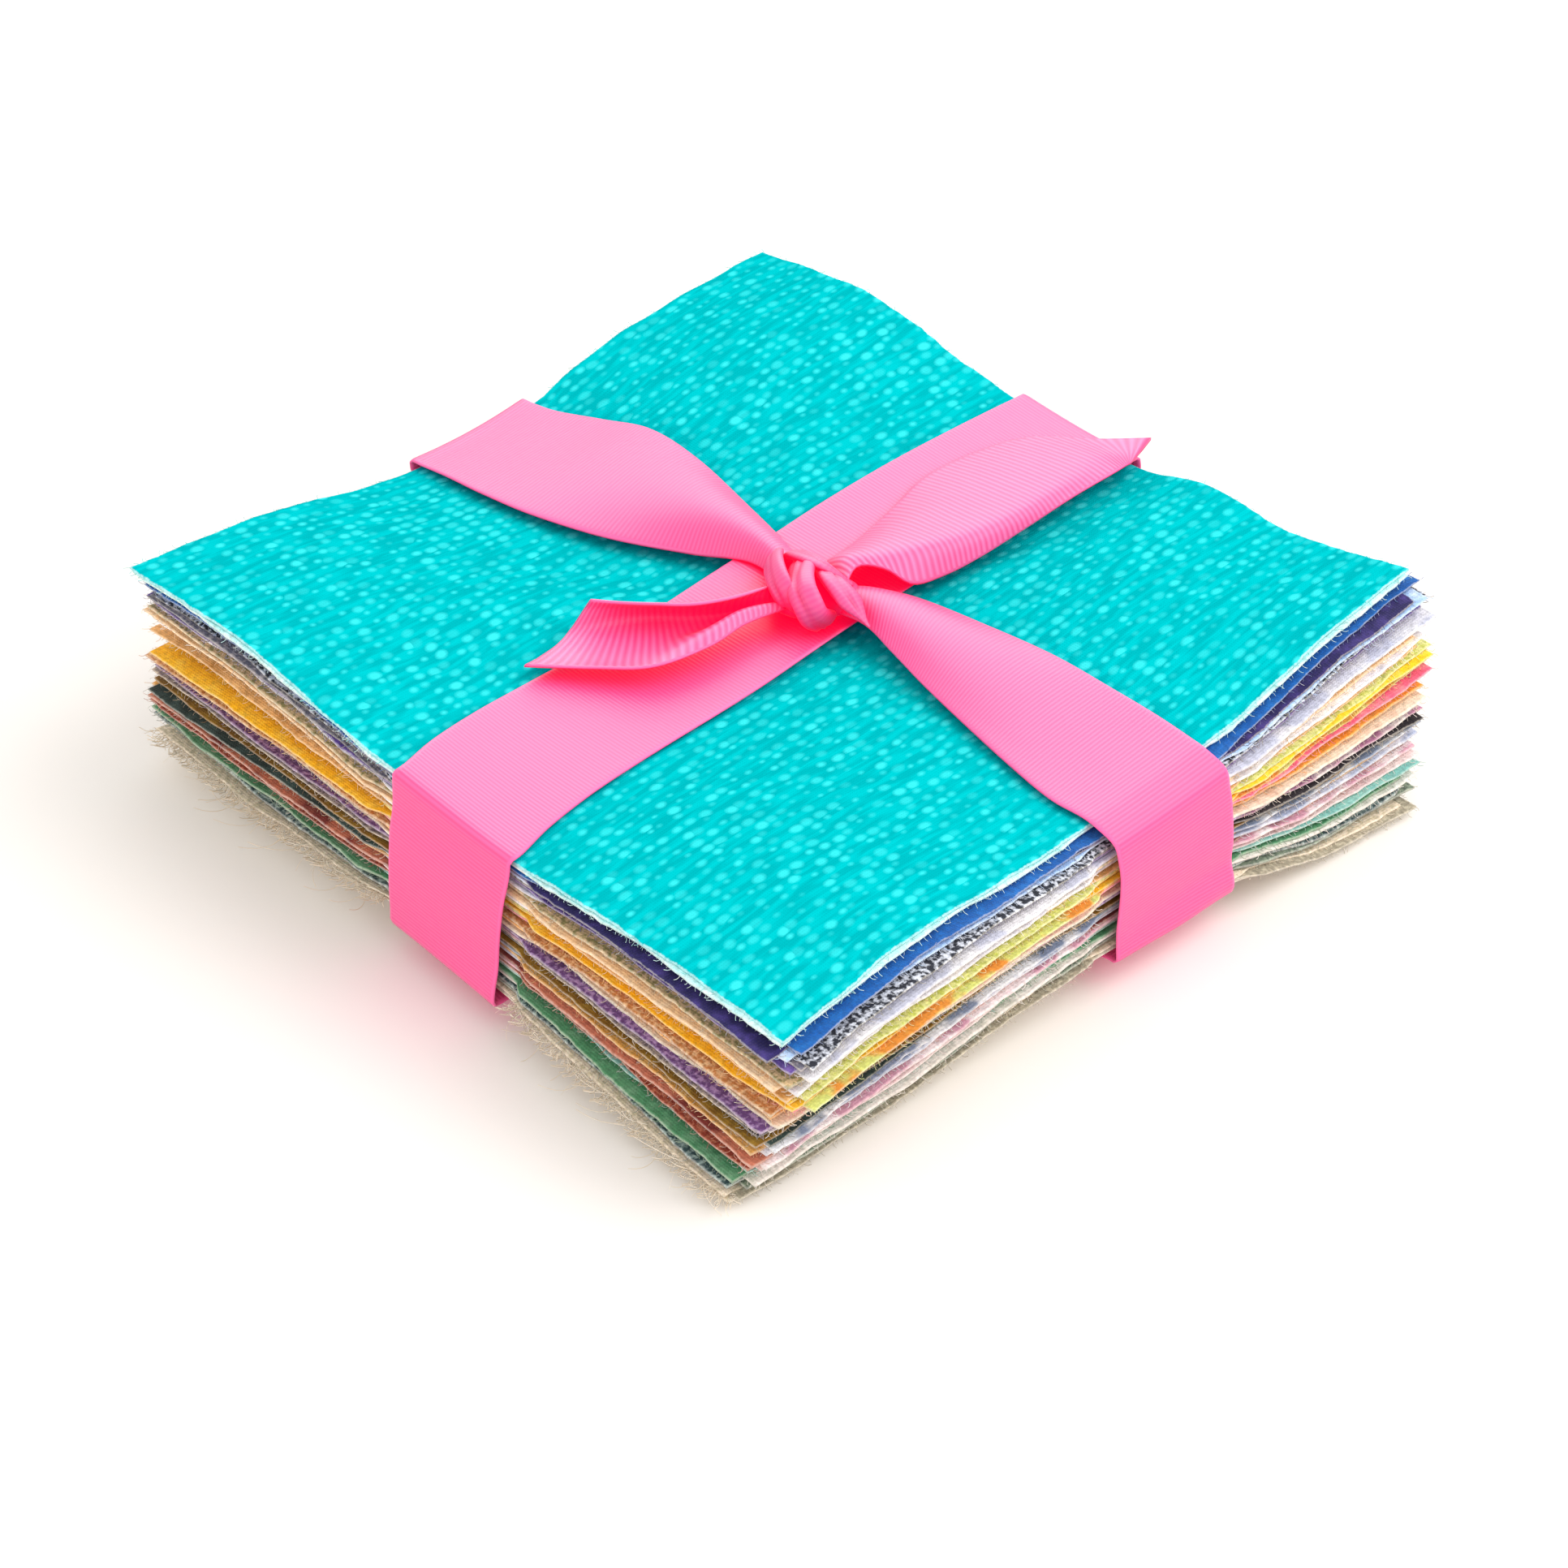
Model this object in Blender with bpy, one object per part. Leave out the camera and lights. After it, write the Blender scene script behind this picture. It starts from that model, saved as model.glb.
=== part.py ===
# Charm pack: a pile of square fabric pieces, tied both ways with one grosgrain ribbon.
# The scene is in metres with +Z up. The origin is on the surface, under the middle of the pile.
# The squares' edges run along X and Y, and the pile's front corner is at +X -Y.
import math

import bmesh
import bpy
from mathutils import Vector

# Driving dimensions, in millimetres.
MM = 0.001
SIDE = 127.0
HALF = SIDE / 2
SQUARES = 17
CLOTH = 1.0
AIR = 0.3
RIBBON_WIDTH = 23.0
RIBBON = 1.0

# A raw cut edge waves a little, each square's at its own phase.
EDGE_WAVE = 0.35
EDGE_WAVE_LENGTH = 11.0
EDGE_WAVE_STEP = 2.1

# The squares share the pile's loose height unevenly: some corners gape while others are shut.
GAPE = 0.055
GAPE_SIDE = 0.6
GAPE_TURNS = 3.0

# Lines of the grid that every square is made of, the same for X and Y.
GRID = (-HALF, -47.0, -30.0, -13.0, 0.0, 13.0, 30.0, 47.0, HALF)

# Places across the pile, from its -X edge to its +X edge, for the two tables of heights.
ACROSS = (-HALF, -40.0, -13.0, 13.0, 27.0, 42.0, HALF)

# Height of the pile's top face, one row for each section from the -Y edge to the +Y edge.
TOP_SECTIONS = (
    # y, then the height at each place across
    (-HALF, (38.6, 37.3, 32.2, 28.8, 29.2, 28.8, 27.4)),
    (-40.0, (35.4, 34.6, 30.2, 29.2, 30.2, 30.8, 30.0)),
    (-13.0, (28.4, 30.4, 28.8, 28.6, 29.2, 29.4, 28.8)),
    (13.0, (27.6, 29.6, 28.6, 28.6, 29.4, 29.6, 28.8)),
    (27.0, (30.6, 31.4, 29.2, 28.8, 30.6, 31.2, 29.8)),
    (42.0, (32.2, 33.2, 29.6, 29.2, 31.6, 32.4, 33.4)),
    (HALF, (31.5, 34.4, 29.6, 28.8, 32.2, 31.8, 36.0)),
)

# Height of the pile's underside. The ribbon draws the middles of the edges up.
UNDER_SECTIONS = (
    (-HALF, (5.0, 5.0, 6.6, 6.0, 4.6, 2.4, 0.8)),
    (-40.0, (3.4, 2.0, 2.2, 2.0, 1.8, 1.6, 2.4)),
    (-13.0, (4.8, 2.0, 1.9, 1.9, 2.0, 2.4, 6.2)),
    (13.0, (4.4, 2.0, 1.9, 1.9, 2.0, 2.6, 6.7)),
    (26.0, (3.0, 1.8, 2.0, 2.0, 2.0, 2.4, 5.4)),
    (40.0, (2.0, 1.6, 2.2, 2.2, 2.0, 1.8, 1.4)),
    (HALF, (2.0, 2.4, 5.4, 5.2, 3.6, 2.2, 1.0)),
)

# The squares from the bottom up: how far each lies off the middle, how far it is turned
# clockwise, and its main colour.
SQUARE_TABLE = (
    # shift x, shift y, degrees, colour
    (2.8, -0.8, 5.2, "EFE3CE"),
    (2.2, -0.6, 4.4, "5B5A48"),
    (2.8, -0.6, 3.8, "B4633F"),
    (2.2, -0.4, 3.2, "23352F"),
    (2.8, -0.8, 2.8, "3F8F7C"),
    (2.6, -0.4, 3.0, "E8D3B5"),
    (3.2, -0.8, 2.4, "9A3F33"),
    (2.8, -0.2, 2.8, "D9CDB8"),
    (3.8, -0.6, 2.2, "C9973B"),
    (2.8, -0.4, 1.6, "4A3550"),
    (4.2, 0.0, 0.4, "E9762F"),
    (3.6, 0.2, 0.8, "F2B705"),
    (3.0, -0.2, 1.4, "F4C79A"),
    (3.6, 0.2, 0.6, "9C8E62"),
    (3.0, 0.4, 0.4, "6B5A9E"),
    (2.0, 0.2, 1.2, "1F2A63"),
    (0.0, 0.0, 0.0, "00CED1"),
)

# Middle line of the ribbon where it runs along Y, from the -Y edge over the top to +Y, and how
# far it stands off the top: the knot draws it up.
BAND_MIDDLE_TOP = ((-HALF, 2.4), (-50.0, 0.2), (-25.0, -0.4), (0.0, 0.2), (25.0, 0.4), (HALF, 1.2))
BAND_LIFT_TOP = ((-HALF, 0.0), (-20.0, 0.0), (0.0, 1.6), (18.0, 2.0), (40.0, 1.4), (HALF, 0.0))
BAND_MIDDLE_UNDER = ((-HALF, 0.8), (-30.0, 0.5), (0.0, 0.4), (30.0, 0.8), (HALF, 1.4))

# Middle line of the ribbon under the pile where it runs along X, and its middle at the two
# upper corners. It lies below the pile on the other ribbon, so it is raised where they cross.
CROSS_MIDDLE_MINUS = 1.8
CROSS_MIDDLE_PLUS = 7.3
CROSS_MIDDLE_UNDER = ((-HALF, 3.0), (-30.0, 2.0), (0.0, 2.0), (30.0, 5.0), (HALF, 9.6))
CROSS_RAISED = 0.6
CROSS_RAISED_HALF = 13.0

# Under the pile the ribbon is flat on the surface near the middle, and then rises to the edge.
FLAT_HALF = 30.0
RISE_LENGTH = 22.0

# The ribbon clears the squares this far round each of its points.
NEAR = (-2.0, 0.0, 2.0)

# The arms of the ribbon that runs along X, from the pile's edge to the knot. They are drawn
# together towards the knot, so their middle rises in a ridge.
ARM_PLUS = (
    # low edge, ridge and high edge, each as x, y and the height that it stands off the pile
    ((57.0, -4.6, 0.1), (56.5, 7.0, 0.3), (56.0, 18.8, 0.1)),
    ((48.5, -3.4, 0.3), (48.2, 7.6, 1.0), (48.0, 18.4, 0.3)),
    ((38.5, -1.4, 0.6), (38.0, 8.4, 2.2), (37.5, 17.8, 0.8)),
    ((28.5, 0.6, 1.4), (27.0, 8.6, 3.6), (25.5, 16.2, 1.4)),
    ((20.5, 2.6, 2.2), (17.5, 8.6, 4.8), (14.5, 14.6, 2.0)),
    ((14.0, 4.0, 3.0), (11.5, 7.4, 5.2), (9.0, 10.8, 3.2)),
    ((8.5, 2.6, 3.6), (7.0, 4.8, 4.8), (5.5, 7.0, 3.6)),
)
ARM_MINUS = (
    ((-57.0, -9.8, 0.1), (-57.2, 2.0, 0.3), (-57.5, 13.6, 0.1)),
    ((-49.0, -10.2, 0.3), (-49.4, 2.8, 0.9), (-49.5, 15.4, 0.6)),
    ((-39.0, -9.4, 0.7), (-40.2, 5.6, 2.2), (-41.0, 17.0, 1.6)),
    ((-27.5, -5.6, 1.0), (-29.5, 7.0, 3.6), (-30.5, 16.2, 2.0)),
    ((-16.5, 0.4, 1.4), (-18.5, 7.4, 5.0), (-18.0, 13.8, 2.0)),
    ((-8.0, 4.2, 2.4), (-8.5, 7.2, 5.0), (-8.5, 11.0, 2.6)),
    ((1.5, 2.4, 3.2), (2.0, 4.6, 4.8), (2.4, 6.8, 3.4)),
)

# The knot's wraps lie side by side along a slanted axis. It is fused to the band below it.
KNOT_PLACE = (5.0, 3.2, 33.8)
KNOT_AXIS_DEGREES = 44.0
KNOT_HALF_LENGTH = 8.2
KNOT_HALF_DEPTH = 5.8
KNOT_HALF_HEIGHT = 4.6
KNOT_WRAPS = 3
KNOT_GROOVE = 0.2
KNOT_SLANT = 0.15
KNOT_RINGS = 13
KNOT_SEGMENTS = 12

# The two free tails, from the knot to the slanted cut end: left edge, middle and right edge.
TAIL_BACK = (
    # left edge, middle, right edge, each as x, y, z
    ((3.6, 6.0, 32.8), (6.0, 6.6, 34.6), (8.6, 6.2, 33.4)),
    ((-0.8, 15.0, 31.8), (6.0, 16.0, 36.2), (12.0, 14.6, 32.2)),
    ((-2.6, 25.0, 31.4), (6.0, 26.0, 35.6), (13.0, 25.0, 31.8)),
    ((-4.4, 36.0, 31.8), (5.6, 36.6, 34.2), (13.4, 36.0, 31.8)),
    ((-3.0, 46.0, 32.2), (6.2, 47.0, 33.4), (13.8, 46.0, 32.2)),
    ((3.4, 54.0, 32.2), (9.6, 55.0, 32.6), (14.2, 54.0, 32.2)),
    ((13.4, 65.6, 32.8), (14.4, 63.4, 32.6), (15.0, 60.6, 32.4)),
)
TAIL_FRONT = (
    ((1.4, 0.4, 35.4), (3.6, -0.6, 33.2), (5.4, -1.8, 33.6)),
    ((-2.0, -7.0, 36.6), (1.0, -9.0, 32.2), (3.6, -10.0, 33.4)),
    ((-5.4, -14.0, 36.8), (-2.4, -16.0, 31.8), (1.8, -18.0, 33.0)),
    ((-9.6, -19.6, 36.8), (-6.4, -23.0, 32.0), (-2.8, -27.4, 32.8)),
    ((-13.6, -22.8, 36.8), (-13.2, -27.4, 32.4), (-12.6, -35.2, 32.8)),
)


def curve_through(places, values, place):
    """Value at a place on a smooth curve through the given values."""
    place = min(max(place, places[0]), places[-1])
    last = len(places) - 2
    span = max(n for n in range(last + 1) if place >= places[n])

    def slope(n):
        before = max(n - 1, 0)
        after = min(n + 1, len(places) - 1)
        return (values[after] - values[before]) / (places[after] - places[before])

    width = places[span + 1] - places[span]
    t = (place - places[span]) / width
    rise = t * t * (3.0 - 2.0 * t)
    start = t * (1.0 - t) ** 2
    end = t * t * (1.0 - t)
    return (values[span] * (1.0 - rise) + values[span + 1] * rise
            + width * (start * slope(span) - end * slope(span + 1)))


def section_height(sections, x, y):
    """Height of the surface that a table of sections describes."""
    rows = [row[0] for row in sections]
    heights = [curve_through(ACROSS, row[1], x) for row in sections]
    return curve_through(rows, heights, y)


def pile_top(x, y):
    return section_height(TOP_SECTIONS, x, y)


def pile_under(x, y):
    return section_height(UNDER_SECTIONS, x, y)


def looseness(number, x, y):
    """Share of the pile's loose height that lies under a square, uneven from corner to corner."""
    share = number / (SQUARES - 1)
    gape = GAPE * math.sin(math.pi * share * GAPE_TURNS)
    corner = (x * y) / (HALF * HALF)
    side = (x + y) / SIDE
    return share + gape * (corner - GAPE_SIDE * side)


def square_underside(number, x, y):
    """Height of a square's lower face; the squares share the pile's loose height."""
    low = pile_under(x, y)
    packed = SQUARES * CLOTH + (SQUARES - 1) * AIR
    loose = max(pile_top(x, y) - low - packed, 0.0)
    return low + number * (CLOTH + AIR) + loose * looseness(number, x, y)


def square_place(row, u, v):
    """Place of a square's own point (u, v) after its turn and shift."""
    shift_x, shift_y, degrees, _ = row
    turn = math.radians(degrees)
    x = u * math.cos(turn) + v * math.sin(turn) + shift_x
    y = v * math.cos(turn) - u * math.sin(turn) + shift_y
    return x, y


def edge_wave(number, along):
    return EDGE_WAVE * math.sin(along / EDGE_WAVE_LENGTH + EDGE_WAVE_STEP * number)


def square_points(number):
    """Plan points of a square, inner ones on the common grid and the rest on its own outline."""
    row = SQUARE_TABLE[number]
    points = {}
    for i, u in enumerate(GRID):
        for j, v in enumerate(GRID):
            on_x_edge = i in (0, len(GRID) - 1)
            on_y_edge = j in (0, len(GRID) - 1)
            if not on_x_edge and not on_y_edge:
                points[i, j] = (u, v)
                continue
            wave_u = math.copysign(edge_wave(number, v), u) if on_x_edge and not on_y_edge else 0.0
            wave_v = math.copysign(edge_wave(number, u), v) if on_y_edge and not on_x_edge else 0.0
            points[i, j] = square_place(row, u + wave_u, v + wave_v)
    return points


def make_material(name, colour, roughness):
    """Plain cloth finish in an sRGB hex colour."""
    channels = [int(colour[n:n + 2], 16) / 255.0 for n in (0, 2, 4)]
    linear = [c / 12.92 if c <= 0.04045 else ((c + 0.055) / 1.055) ** 2.4 for c in channels]
    material = bpy.data.materials.new(name)
    material.use_nodes = True
    shader = material.node_tree.nodes["Principled BSDF"]
    shader.inputs["Base Color"].default_value = (*linear, 1.0)
    shader.inputs["Roughness"].default_value = roughness
    shader.inputs["Metallic"].default_value = 0.0
    return material


def make_object(name, bm, material):
    """Scene object from a mesh in millimetres, with its faces turned outwards."""
    bmesh.ops.recalc_face_normals(bm, faces=bm.faces)
    bmesh.ops.scale(bm, vec=(MM, MM, MM), verts=bm.verts)
    mesh = bpy.data.meshes.new(name)
    bm.to_mesh(mesh)
    bm.free()
    mesh.materials.append(material)
    obj = bpy.data.objects.new(name, mesh)
    bpy.context.scene.collection.objects.link(obj)
    return obj


def grid_solid(lower, upper, ring=False):
    """Closed mesh between two grids of points; a ring joins its last row to its first."""
    bm = bmesh.new()
    faces = []
    low = [[bm.verts.new(p) for p in row] for row in lower]
    high = [[bm.verts.new(p) for p in row] for row in upper]
    rows, columns = len(lower), len(lower[0])
    for i in range(rows if ring else rows - 1):
        k = (i + 1) % rows
        for j in range(columns - 1):
            faces.append((low[i][j], low[k][j], low[k][j + 1], low[i][j + 1]))
            faces.append((high[i][j], high[i][j + 1], high[k][j + 1], high[k][j]))
        faces.append((low[i][0], high[i][0], high[k][0], low[k][0]))
        faces.append((low[i][-1], low[k][-1], high[k][-1], high[i][-1]))
    if not ring:
        for j in range(columns - 1):
            faces.append((low[0][j], low[0][j + 1], high[0][j + 1], high[0][j]))
            faces.append((low[-1][j], high[-1][j], high[-1][j + 1], low[-1][j + 1]))
    for face in faces:
        bm.faces.new(face)
    return bm


def make_square(number):
    """One cut square, lying in the folds of the pile."""
    points = square_points(number)
    last = len(GRID)
    lower = []
    upper = []
    for i in range(last):
        heights = [square_underside(number, *points[i, j]) for j in range(last)]
        lower.append([(*points[i, j], heights[j]) for j in range(last)])
        upper.append([(*points[i, j], heights[j] + CLOTH) for j in range(last)])
    name = f"square_{number + 1:02d}"
    material = make_material(f"cotton_{number + 1:02d}", SQUARE_TABLE[number][3], 0.9)
    return make_object(name, grid_solid(lower, upper), material)


def edge_reach(side, level, window, along):
    """How far out a ribbon lies against the squares near a level, on one side of the pile."""
    reach = []
    for number, (shift_x, shift_y, degrees, _) in enumerate(SQUARE_TABLE):
        if abs((number + 0.5) / SQUARES - level) > window:
            continue
        lean = along * math.sin(math.radians(degrees))
        reach.append({
            "-y": HALF - shift_y + lean,
            "+y": HALF + shift_y - lean,
            "+x": HALF + shift_x + lean,
            "-x": HALF - shift_x - lean,
        }[side])
    return max(reach) + EDGE_WAVE + AIR + RIBBON / 2


def resting(x, y):
    """Height of the middle of a ribbon that lies on the pile's top."""
    return max(pile_top(x + a, y + b) for a in NEAR for b in NEAR) + AIR + RIBBON / 2


def hanging(x, y):
    """Height of the middle of a ribbon that runs under the pile."""
    return min(pile_under(x + a, y + b) for a in NEAR for b in NEAR) - AIR - RIBBON / 2


def flat_then_up(along, floor, x, y):
    """Height of the ribbon's middle under the pile: on the surface, then up to the edge."""
    share = min(max((abs(along) - FLAT_HALF) / RISE_LENGTH, 0.0), 1.0)
    share = share * share * (3.0 - 2.0 * share)
    return floor + share * max(hanging(x, y) - floor, 0.0)


# How the ribbon lies up a side of the pile, from its lower corner to its upper corner.
SIDE_ROWS = (
    # level in the pile's height, levels searched for the squares it lies on, out, up
    (0.03, 0.08, -1.8, -0.1),
    (0.03, 0.08, 0.1, 0.1),
    (0.08, 0.14, 0.2, 0.2),
    (0.25, 0.18, 0.0, 0.0),
    (0.43, 0.18, 0.0, 0.0),
    (0.61, 0.18, 0.0, 0.0),
    (0.79, 0.18, 0.0, 0.0),
    (0.92, 0.14, 0.0, 0.0),
    (0.97, 0.04, -0.1, -0.3),
    (0.97, 0.04, -2.2, 0.0),
)
LOWER_CORNER_ROWS = 2
UPPER_CORNER_ROWS = 2
LANES = (-0.5, -0.25, 0.0, 0.25, 0.5)


def side_points(side, middle_low, middle_high):
    """Ribbon rows up one side of the pile, from its lower corner to its upper corner."""
    along_y = side in ("-y", "+y")
    sign = -1.0 if side[0] == "-" else 1.0
    rows = []
    for number, (level, window, outward, upward) in enumerate(SIDE_ROWS):
        share = level
        if number < LOWER_CORNER_ROWS:
            share = 0.0
        elif number >= len(SIDE_ROWS) - UPPER_CORNER_ROWS:
            share = 1.0
        row = []
        for lane in LANES:
            across = middle_low + (middle_high - middle_low) * share + lane * RIBBON_WIDTH
            x, y = (across, sign * HALF) if along_y else (sign * HALF, across)
            low = hanging(x, y)
            high = resting(x, y)
            out = sign * (edge_reach(side, level, window, across) + outward)
            z = low + (high - low) * share + upward
            row.append((across, out, z) if along_y else (out, across, z))
        rows.append(row)
    return rows


def band_rows():
    """Rows of the ribbon that runs along Y, right round the pile."""
    steps = (-56.0, -47.0, -30.0, -13.0, 0.0, 13.0, 30.0, 47.0, 56.0)
    top_places, top_middles = zip(*BAND_MIDDLE_TOP)
    lift_places, lifts = zip(*BAND_LIFT_TOP)
    under_places, under_middles = zip(*BAND_MIDDLE_UNDER)
    floor = RIBBON / 2
    rows = side_points("-y", under_middles[0], top_middles[0])
    for y in steps:
        middle = curve_through(top_places, top_middles, y)
        lift = curve_through(lift_places, lifts, y)
        xs = [middle + lane * RIBBON_WIDTH for lane in LANES]
        rows.append([(x, y, resting(x, y) + lift) for x in xs])
    rows += reversed(side_points("+y", under_middles[-1], top_middles[-1]))
    for y in reversed(steps[1:-1]):
        middle = curve_through(under_places, under_middles, y)
        xs = [middle + lane * RIBBON_WIDTH for lane in LANES]
        rows.append([(x, y, flat_then_up(y, floor, x, y)) for x in xs])
    return rows


def bent_row(left, middle, right):
    """Points across the ribbon on one bend through its left edge, middle and right edge."""
    left, middle, right = Vector(left), Vector(middle), Vector(right)
    pull = middle * 2.0 - (left + right) / 2
    row = []
    for lane in LANES:
        t = lane + 0.5
        row.append(left * (1.0 - t) ** 2 + pull * (2.0 * t * (1.0 - t)) + right * t * t)
    return row


def arm_rows(table):
    """Rows of one arm on the pile's top, from the edge to the knot."""
    return [[(x, y, resting(x, y) + lift) for x, y, lift in bent_row(*row)] for row in table]


def tail_rows(table):
    """Rows of a free tail, from the knot to its cut end."""
    return [[tuple(point) for point in bent_row(*row)] for row in table]


def cross_rows():
    """Rows of the ribbon that runs along X, from the knot round under the pile and back."""
    places, middles = zip(*CROSS_MIDDLE_UNDER)
    floor = RIBBON / 2
    rows = list(reversed(arm_rows(ARM_PLUS)))
    rows += reversed(side_points("+x", middles[-1], CROSS_MIDDLE_PLUS))
    for x in (47.0, 30.0, 19.0, 13.0, 0.0, -13.0, -19.0, -30.0, -47.0):
        middle = curve_through(places, middles, x)
        ys = [middle + lane * RIBBON_WIDTH for lane in LANES]
        raised = CROSS_RAISED if abs(x) <= CROSS_RAISED_HALF else 0.0
        rows.append([(x, y, flat_then_up(x, floor + raised, x, y)) for y in ys])
    rows += side_points("-x", middles[0], CROSS_MIDDLE_MINUS)
    rows += arm_rows(ARM_MINUS)
    return rows


def ribbon_solid(rows, ring=False):
    """Ribbon of even thickness about the given rows of points."""
    count = len(rows)
    lower = []
    upper = []
    for i, row in enumerate(rows):
        after = rows[(i + 1) % count] if ring else rows[min(i + 1, count - 1)]
        before = rows[i - 1] if ring or i > 0 else rows[0]
        low_row = []
        high_row = []
        for j, point in enumerate(row):
            along = Vector(after[j]) - Vector(before[j])
            across = Vector(row[min(j + 1, len(row) - 1)]) - Vector(row[max(j - 1, 0)])
            normal = along.cross(across).normalized() * (RIBBON / 2)
            low_row.append(tuple(Vector(point) - normal))
            high_row.append(tuple(Vector(point) + normal))
        lower.append(low_row)
        upper.append(high_row)
    return grid_solid(lower, upper, ring)


def knot_solid():
    """The knot as a short barrel with a groove between each two of its wraps."""
    turn = math.radians(KNOT_AXIS_DEGREES)
    axis = Vector((math.cos(turn), math.sin(turn), 0.0))
    depth = Vector((math.sin(turn), -math.cos(turn), 0.0))
    place = Vector(KNOT_PLACE)
    bm = bmesh.new()
    rings = []
    for n in range(1, KNOT_RINGS):
        share = n / KNOT_RINGS
        ball = math.sin(math.pi * share) ** 0.5
        wrap = abs(math.sin(math.pi * share * KNOT_WRAPS))
        girth = ball * (1.0 - KNOT_GROOVE * (1.0 - wrap))
        ring = []
        for s in range(KNOT_SEGMENTS):
            angle = 2.0 * math.pi * s / KNOT_SEGMENTS
            slant = KNOT_SLANT * ball * math.cos(angle)
            point = place + axis * (KNOT_HALF_LENGTH * (2.0 * share - 1.0 + slant))
            point += depth * (KNOT_HALF_DEPTH * girth * math.cos(angle))
            point.z += KNOT_HALF_HEIGHT * girth * math.sin(angle)
            ring.append(bm.verts.new(point))
        rings.append(ring)
    ends = [bm.verts.new(place + axis * (KNOT_HALF_LENGTH * e)) for e in (-1.0, 1.0)]
    for s in range(KNOT_SEGMENTS):
        t = (s + 1) % KNOT_SEGMENTS
        bm.faces.new((ends[0], rings[0][t], rings[0][s]))
        bm.faces.new((ends[1], rings[-1][s], rings[-1][t]))
        for near, far in zip(rings, rings[1:]):
            bm.faces.new((near[s], near[t], far[t], far[s]))
    return bm


def fuse(base, helpers):
    """Unite the helpers with the base, as one piece of ribbon."""
    for helper in helpers:
        helper.hide_render = True
        helper.display_type = "WIRE"
        union = base.modifiers.new(helper.name, "BOOLEAN")
        union.operation = "UNION"
        union.solver = "EXACT"
        union.object = helper


def make_ribbon():
    """The whole ribbon: both bands, the knot and its tails, fused into one solid."""
    grosgrain = make_material("pink_grosgrain", "FF79B4", 0.6)
    band = make_object("ribbon", ribbon_solid(band_rows(), ring=True), grosgrain)
    helpers = [
        make_object("ribbon_cross_guide", ribbon_solid(cross_rows()), grosgrain),
        make_object("ribbon_knot_guide", knot_solid(), grosgrain),
        make_object("ribbon_tail_back_guide", ribbon_solid(tail_rows(TAIL_BACK)), grosgrain),
        make_object("ribbon_tail_front_guide", ribbon_solid(tail_rows(TAIL_FRONT)), grosgrain),
    ]
    fuse(band, helpers)
    return band


for old in list(bpy.data.objects):
    bpy.data.objects.remove(old, do_unlink=True)

for square_number in range(SQUARES):
    make_square(square_number)
make_ribbon()
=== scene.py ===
# %% [markdown]
# # A charm pack tied with ribbon
#
# A charm pack is a pile of 5 inch squares cut from many cotton prints, tied both ways with one
# length of ribbon. The CAD part holds the plain form: 17 thick squares and one ribbon solid. This
# script dresses that form. Each thick square becomes the two or three thin cottons that it stands
# for, with raw cut edges and loose threads, and the ribbon becomes ribbed grosgrain with a real
# knot. Everything is made in the part's own frame: metres, +Z up, the origin on the surface under
# the middle of the pile.

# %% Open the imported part
import math

import bpy
import numpy as np
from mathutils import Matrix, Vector


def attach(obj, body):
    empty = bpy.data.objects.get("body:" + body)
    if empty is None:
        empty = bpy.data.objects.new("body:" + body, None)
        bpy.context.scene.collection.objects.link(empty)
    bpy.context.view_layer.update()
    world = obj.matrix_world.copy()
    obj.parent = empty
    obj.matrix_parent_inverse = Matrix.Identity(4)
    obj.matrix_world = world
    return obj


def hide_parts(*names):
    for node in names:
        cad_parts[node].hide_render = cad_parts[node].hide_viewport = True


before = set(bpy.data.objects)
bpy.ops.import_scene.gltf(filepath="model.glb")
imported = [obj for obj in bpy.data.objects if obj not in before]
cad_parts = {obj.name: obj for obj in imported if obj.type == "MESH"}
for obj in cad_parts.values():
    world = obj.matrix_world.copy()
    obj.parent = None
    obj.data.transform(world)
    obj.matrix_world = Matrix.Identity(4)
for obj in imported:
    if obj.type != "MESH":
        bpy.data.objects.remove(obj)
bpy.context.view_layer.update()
MM = 0.001
print("nodes:", len(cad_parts))

# %% [markdown]
# ## Camera
#
# The top square is known to be 127 mm a side, so its four corners in the photograph fix the
# camera. Two turns about the object, a distance and a focal length are enough, and they are
# easier to read and to adjust than a matrix typed in by hand.

# %% Place the camera
IMAGE_SIDE = 1932
FOCAL_PIXELS = 7000.0
CAMERA_TURN = math.radians(44.0)
CAMERA_RISE = math.radians(38.5)
CAMERA_DISTANCE = 800.0
CAMERA_AIM = Vector((14.0, -12.0, 13.0))


def direction(turn, rise):
    """Way to a place that is turned about the object from -Y and raised, in radians."""
    return Vector((math.sin(turn) * math.cos(rise), -math.cos(turn) * math.cos(rise),
                   math.sin(rise)))


camera_data = bpy.data.cameras.new("camera")
camera_data.sensor_width = 36.0
camera_data.lens = camera_data.sensor_width * FOCAL_PIXELS / IMAGE_SIDE
camera_data.clip_start = 0.01
camera = bpy.data.objects.new("camera", camera_data)
bpy.context.scene.collection.objects.link(camera)
back = direction(CAMERA_TURN, CAMERA_RISE)
camera.location = (CAMERA_AIM + back * CAMERA_DISTANCE) * MM
camera.rotation_euler = (-back).to_track_quat("-Z", "Y").to_euler()
bpy.context.scene.camera = camera
print("lens in mm:", round(camera_data.lens, 1))

# %% [markdown]
# ## Helpers for materials
#
# Colours are written as sRGB hex codes, as a paint chart gives them, and one function turns them
# into the linear values that a shader needs. A second function adds a shader node: its settings
# go in by name, and whatever feeds its inputs is either a number, a colour or another socket. A
# third starts a new material.

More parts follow.
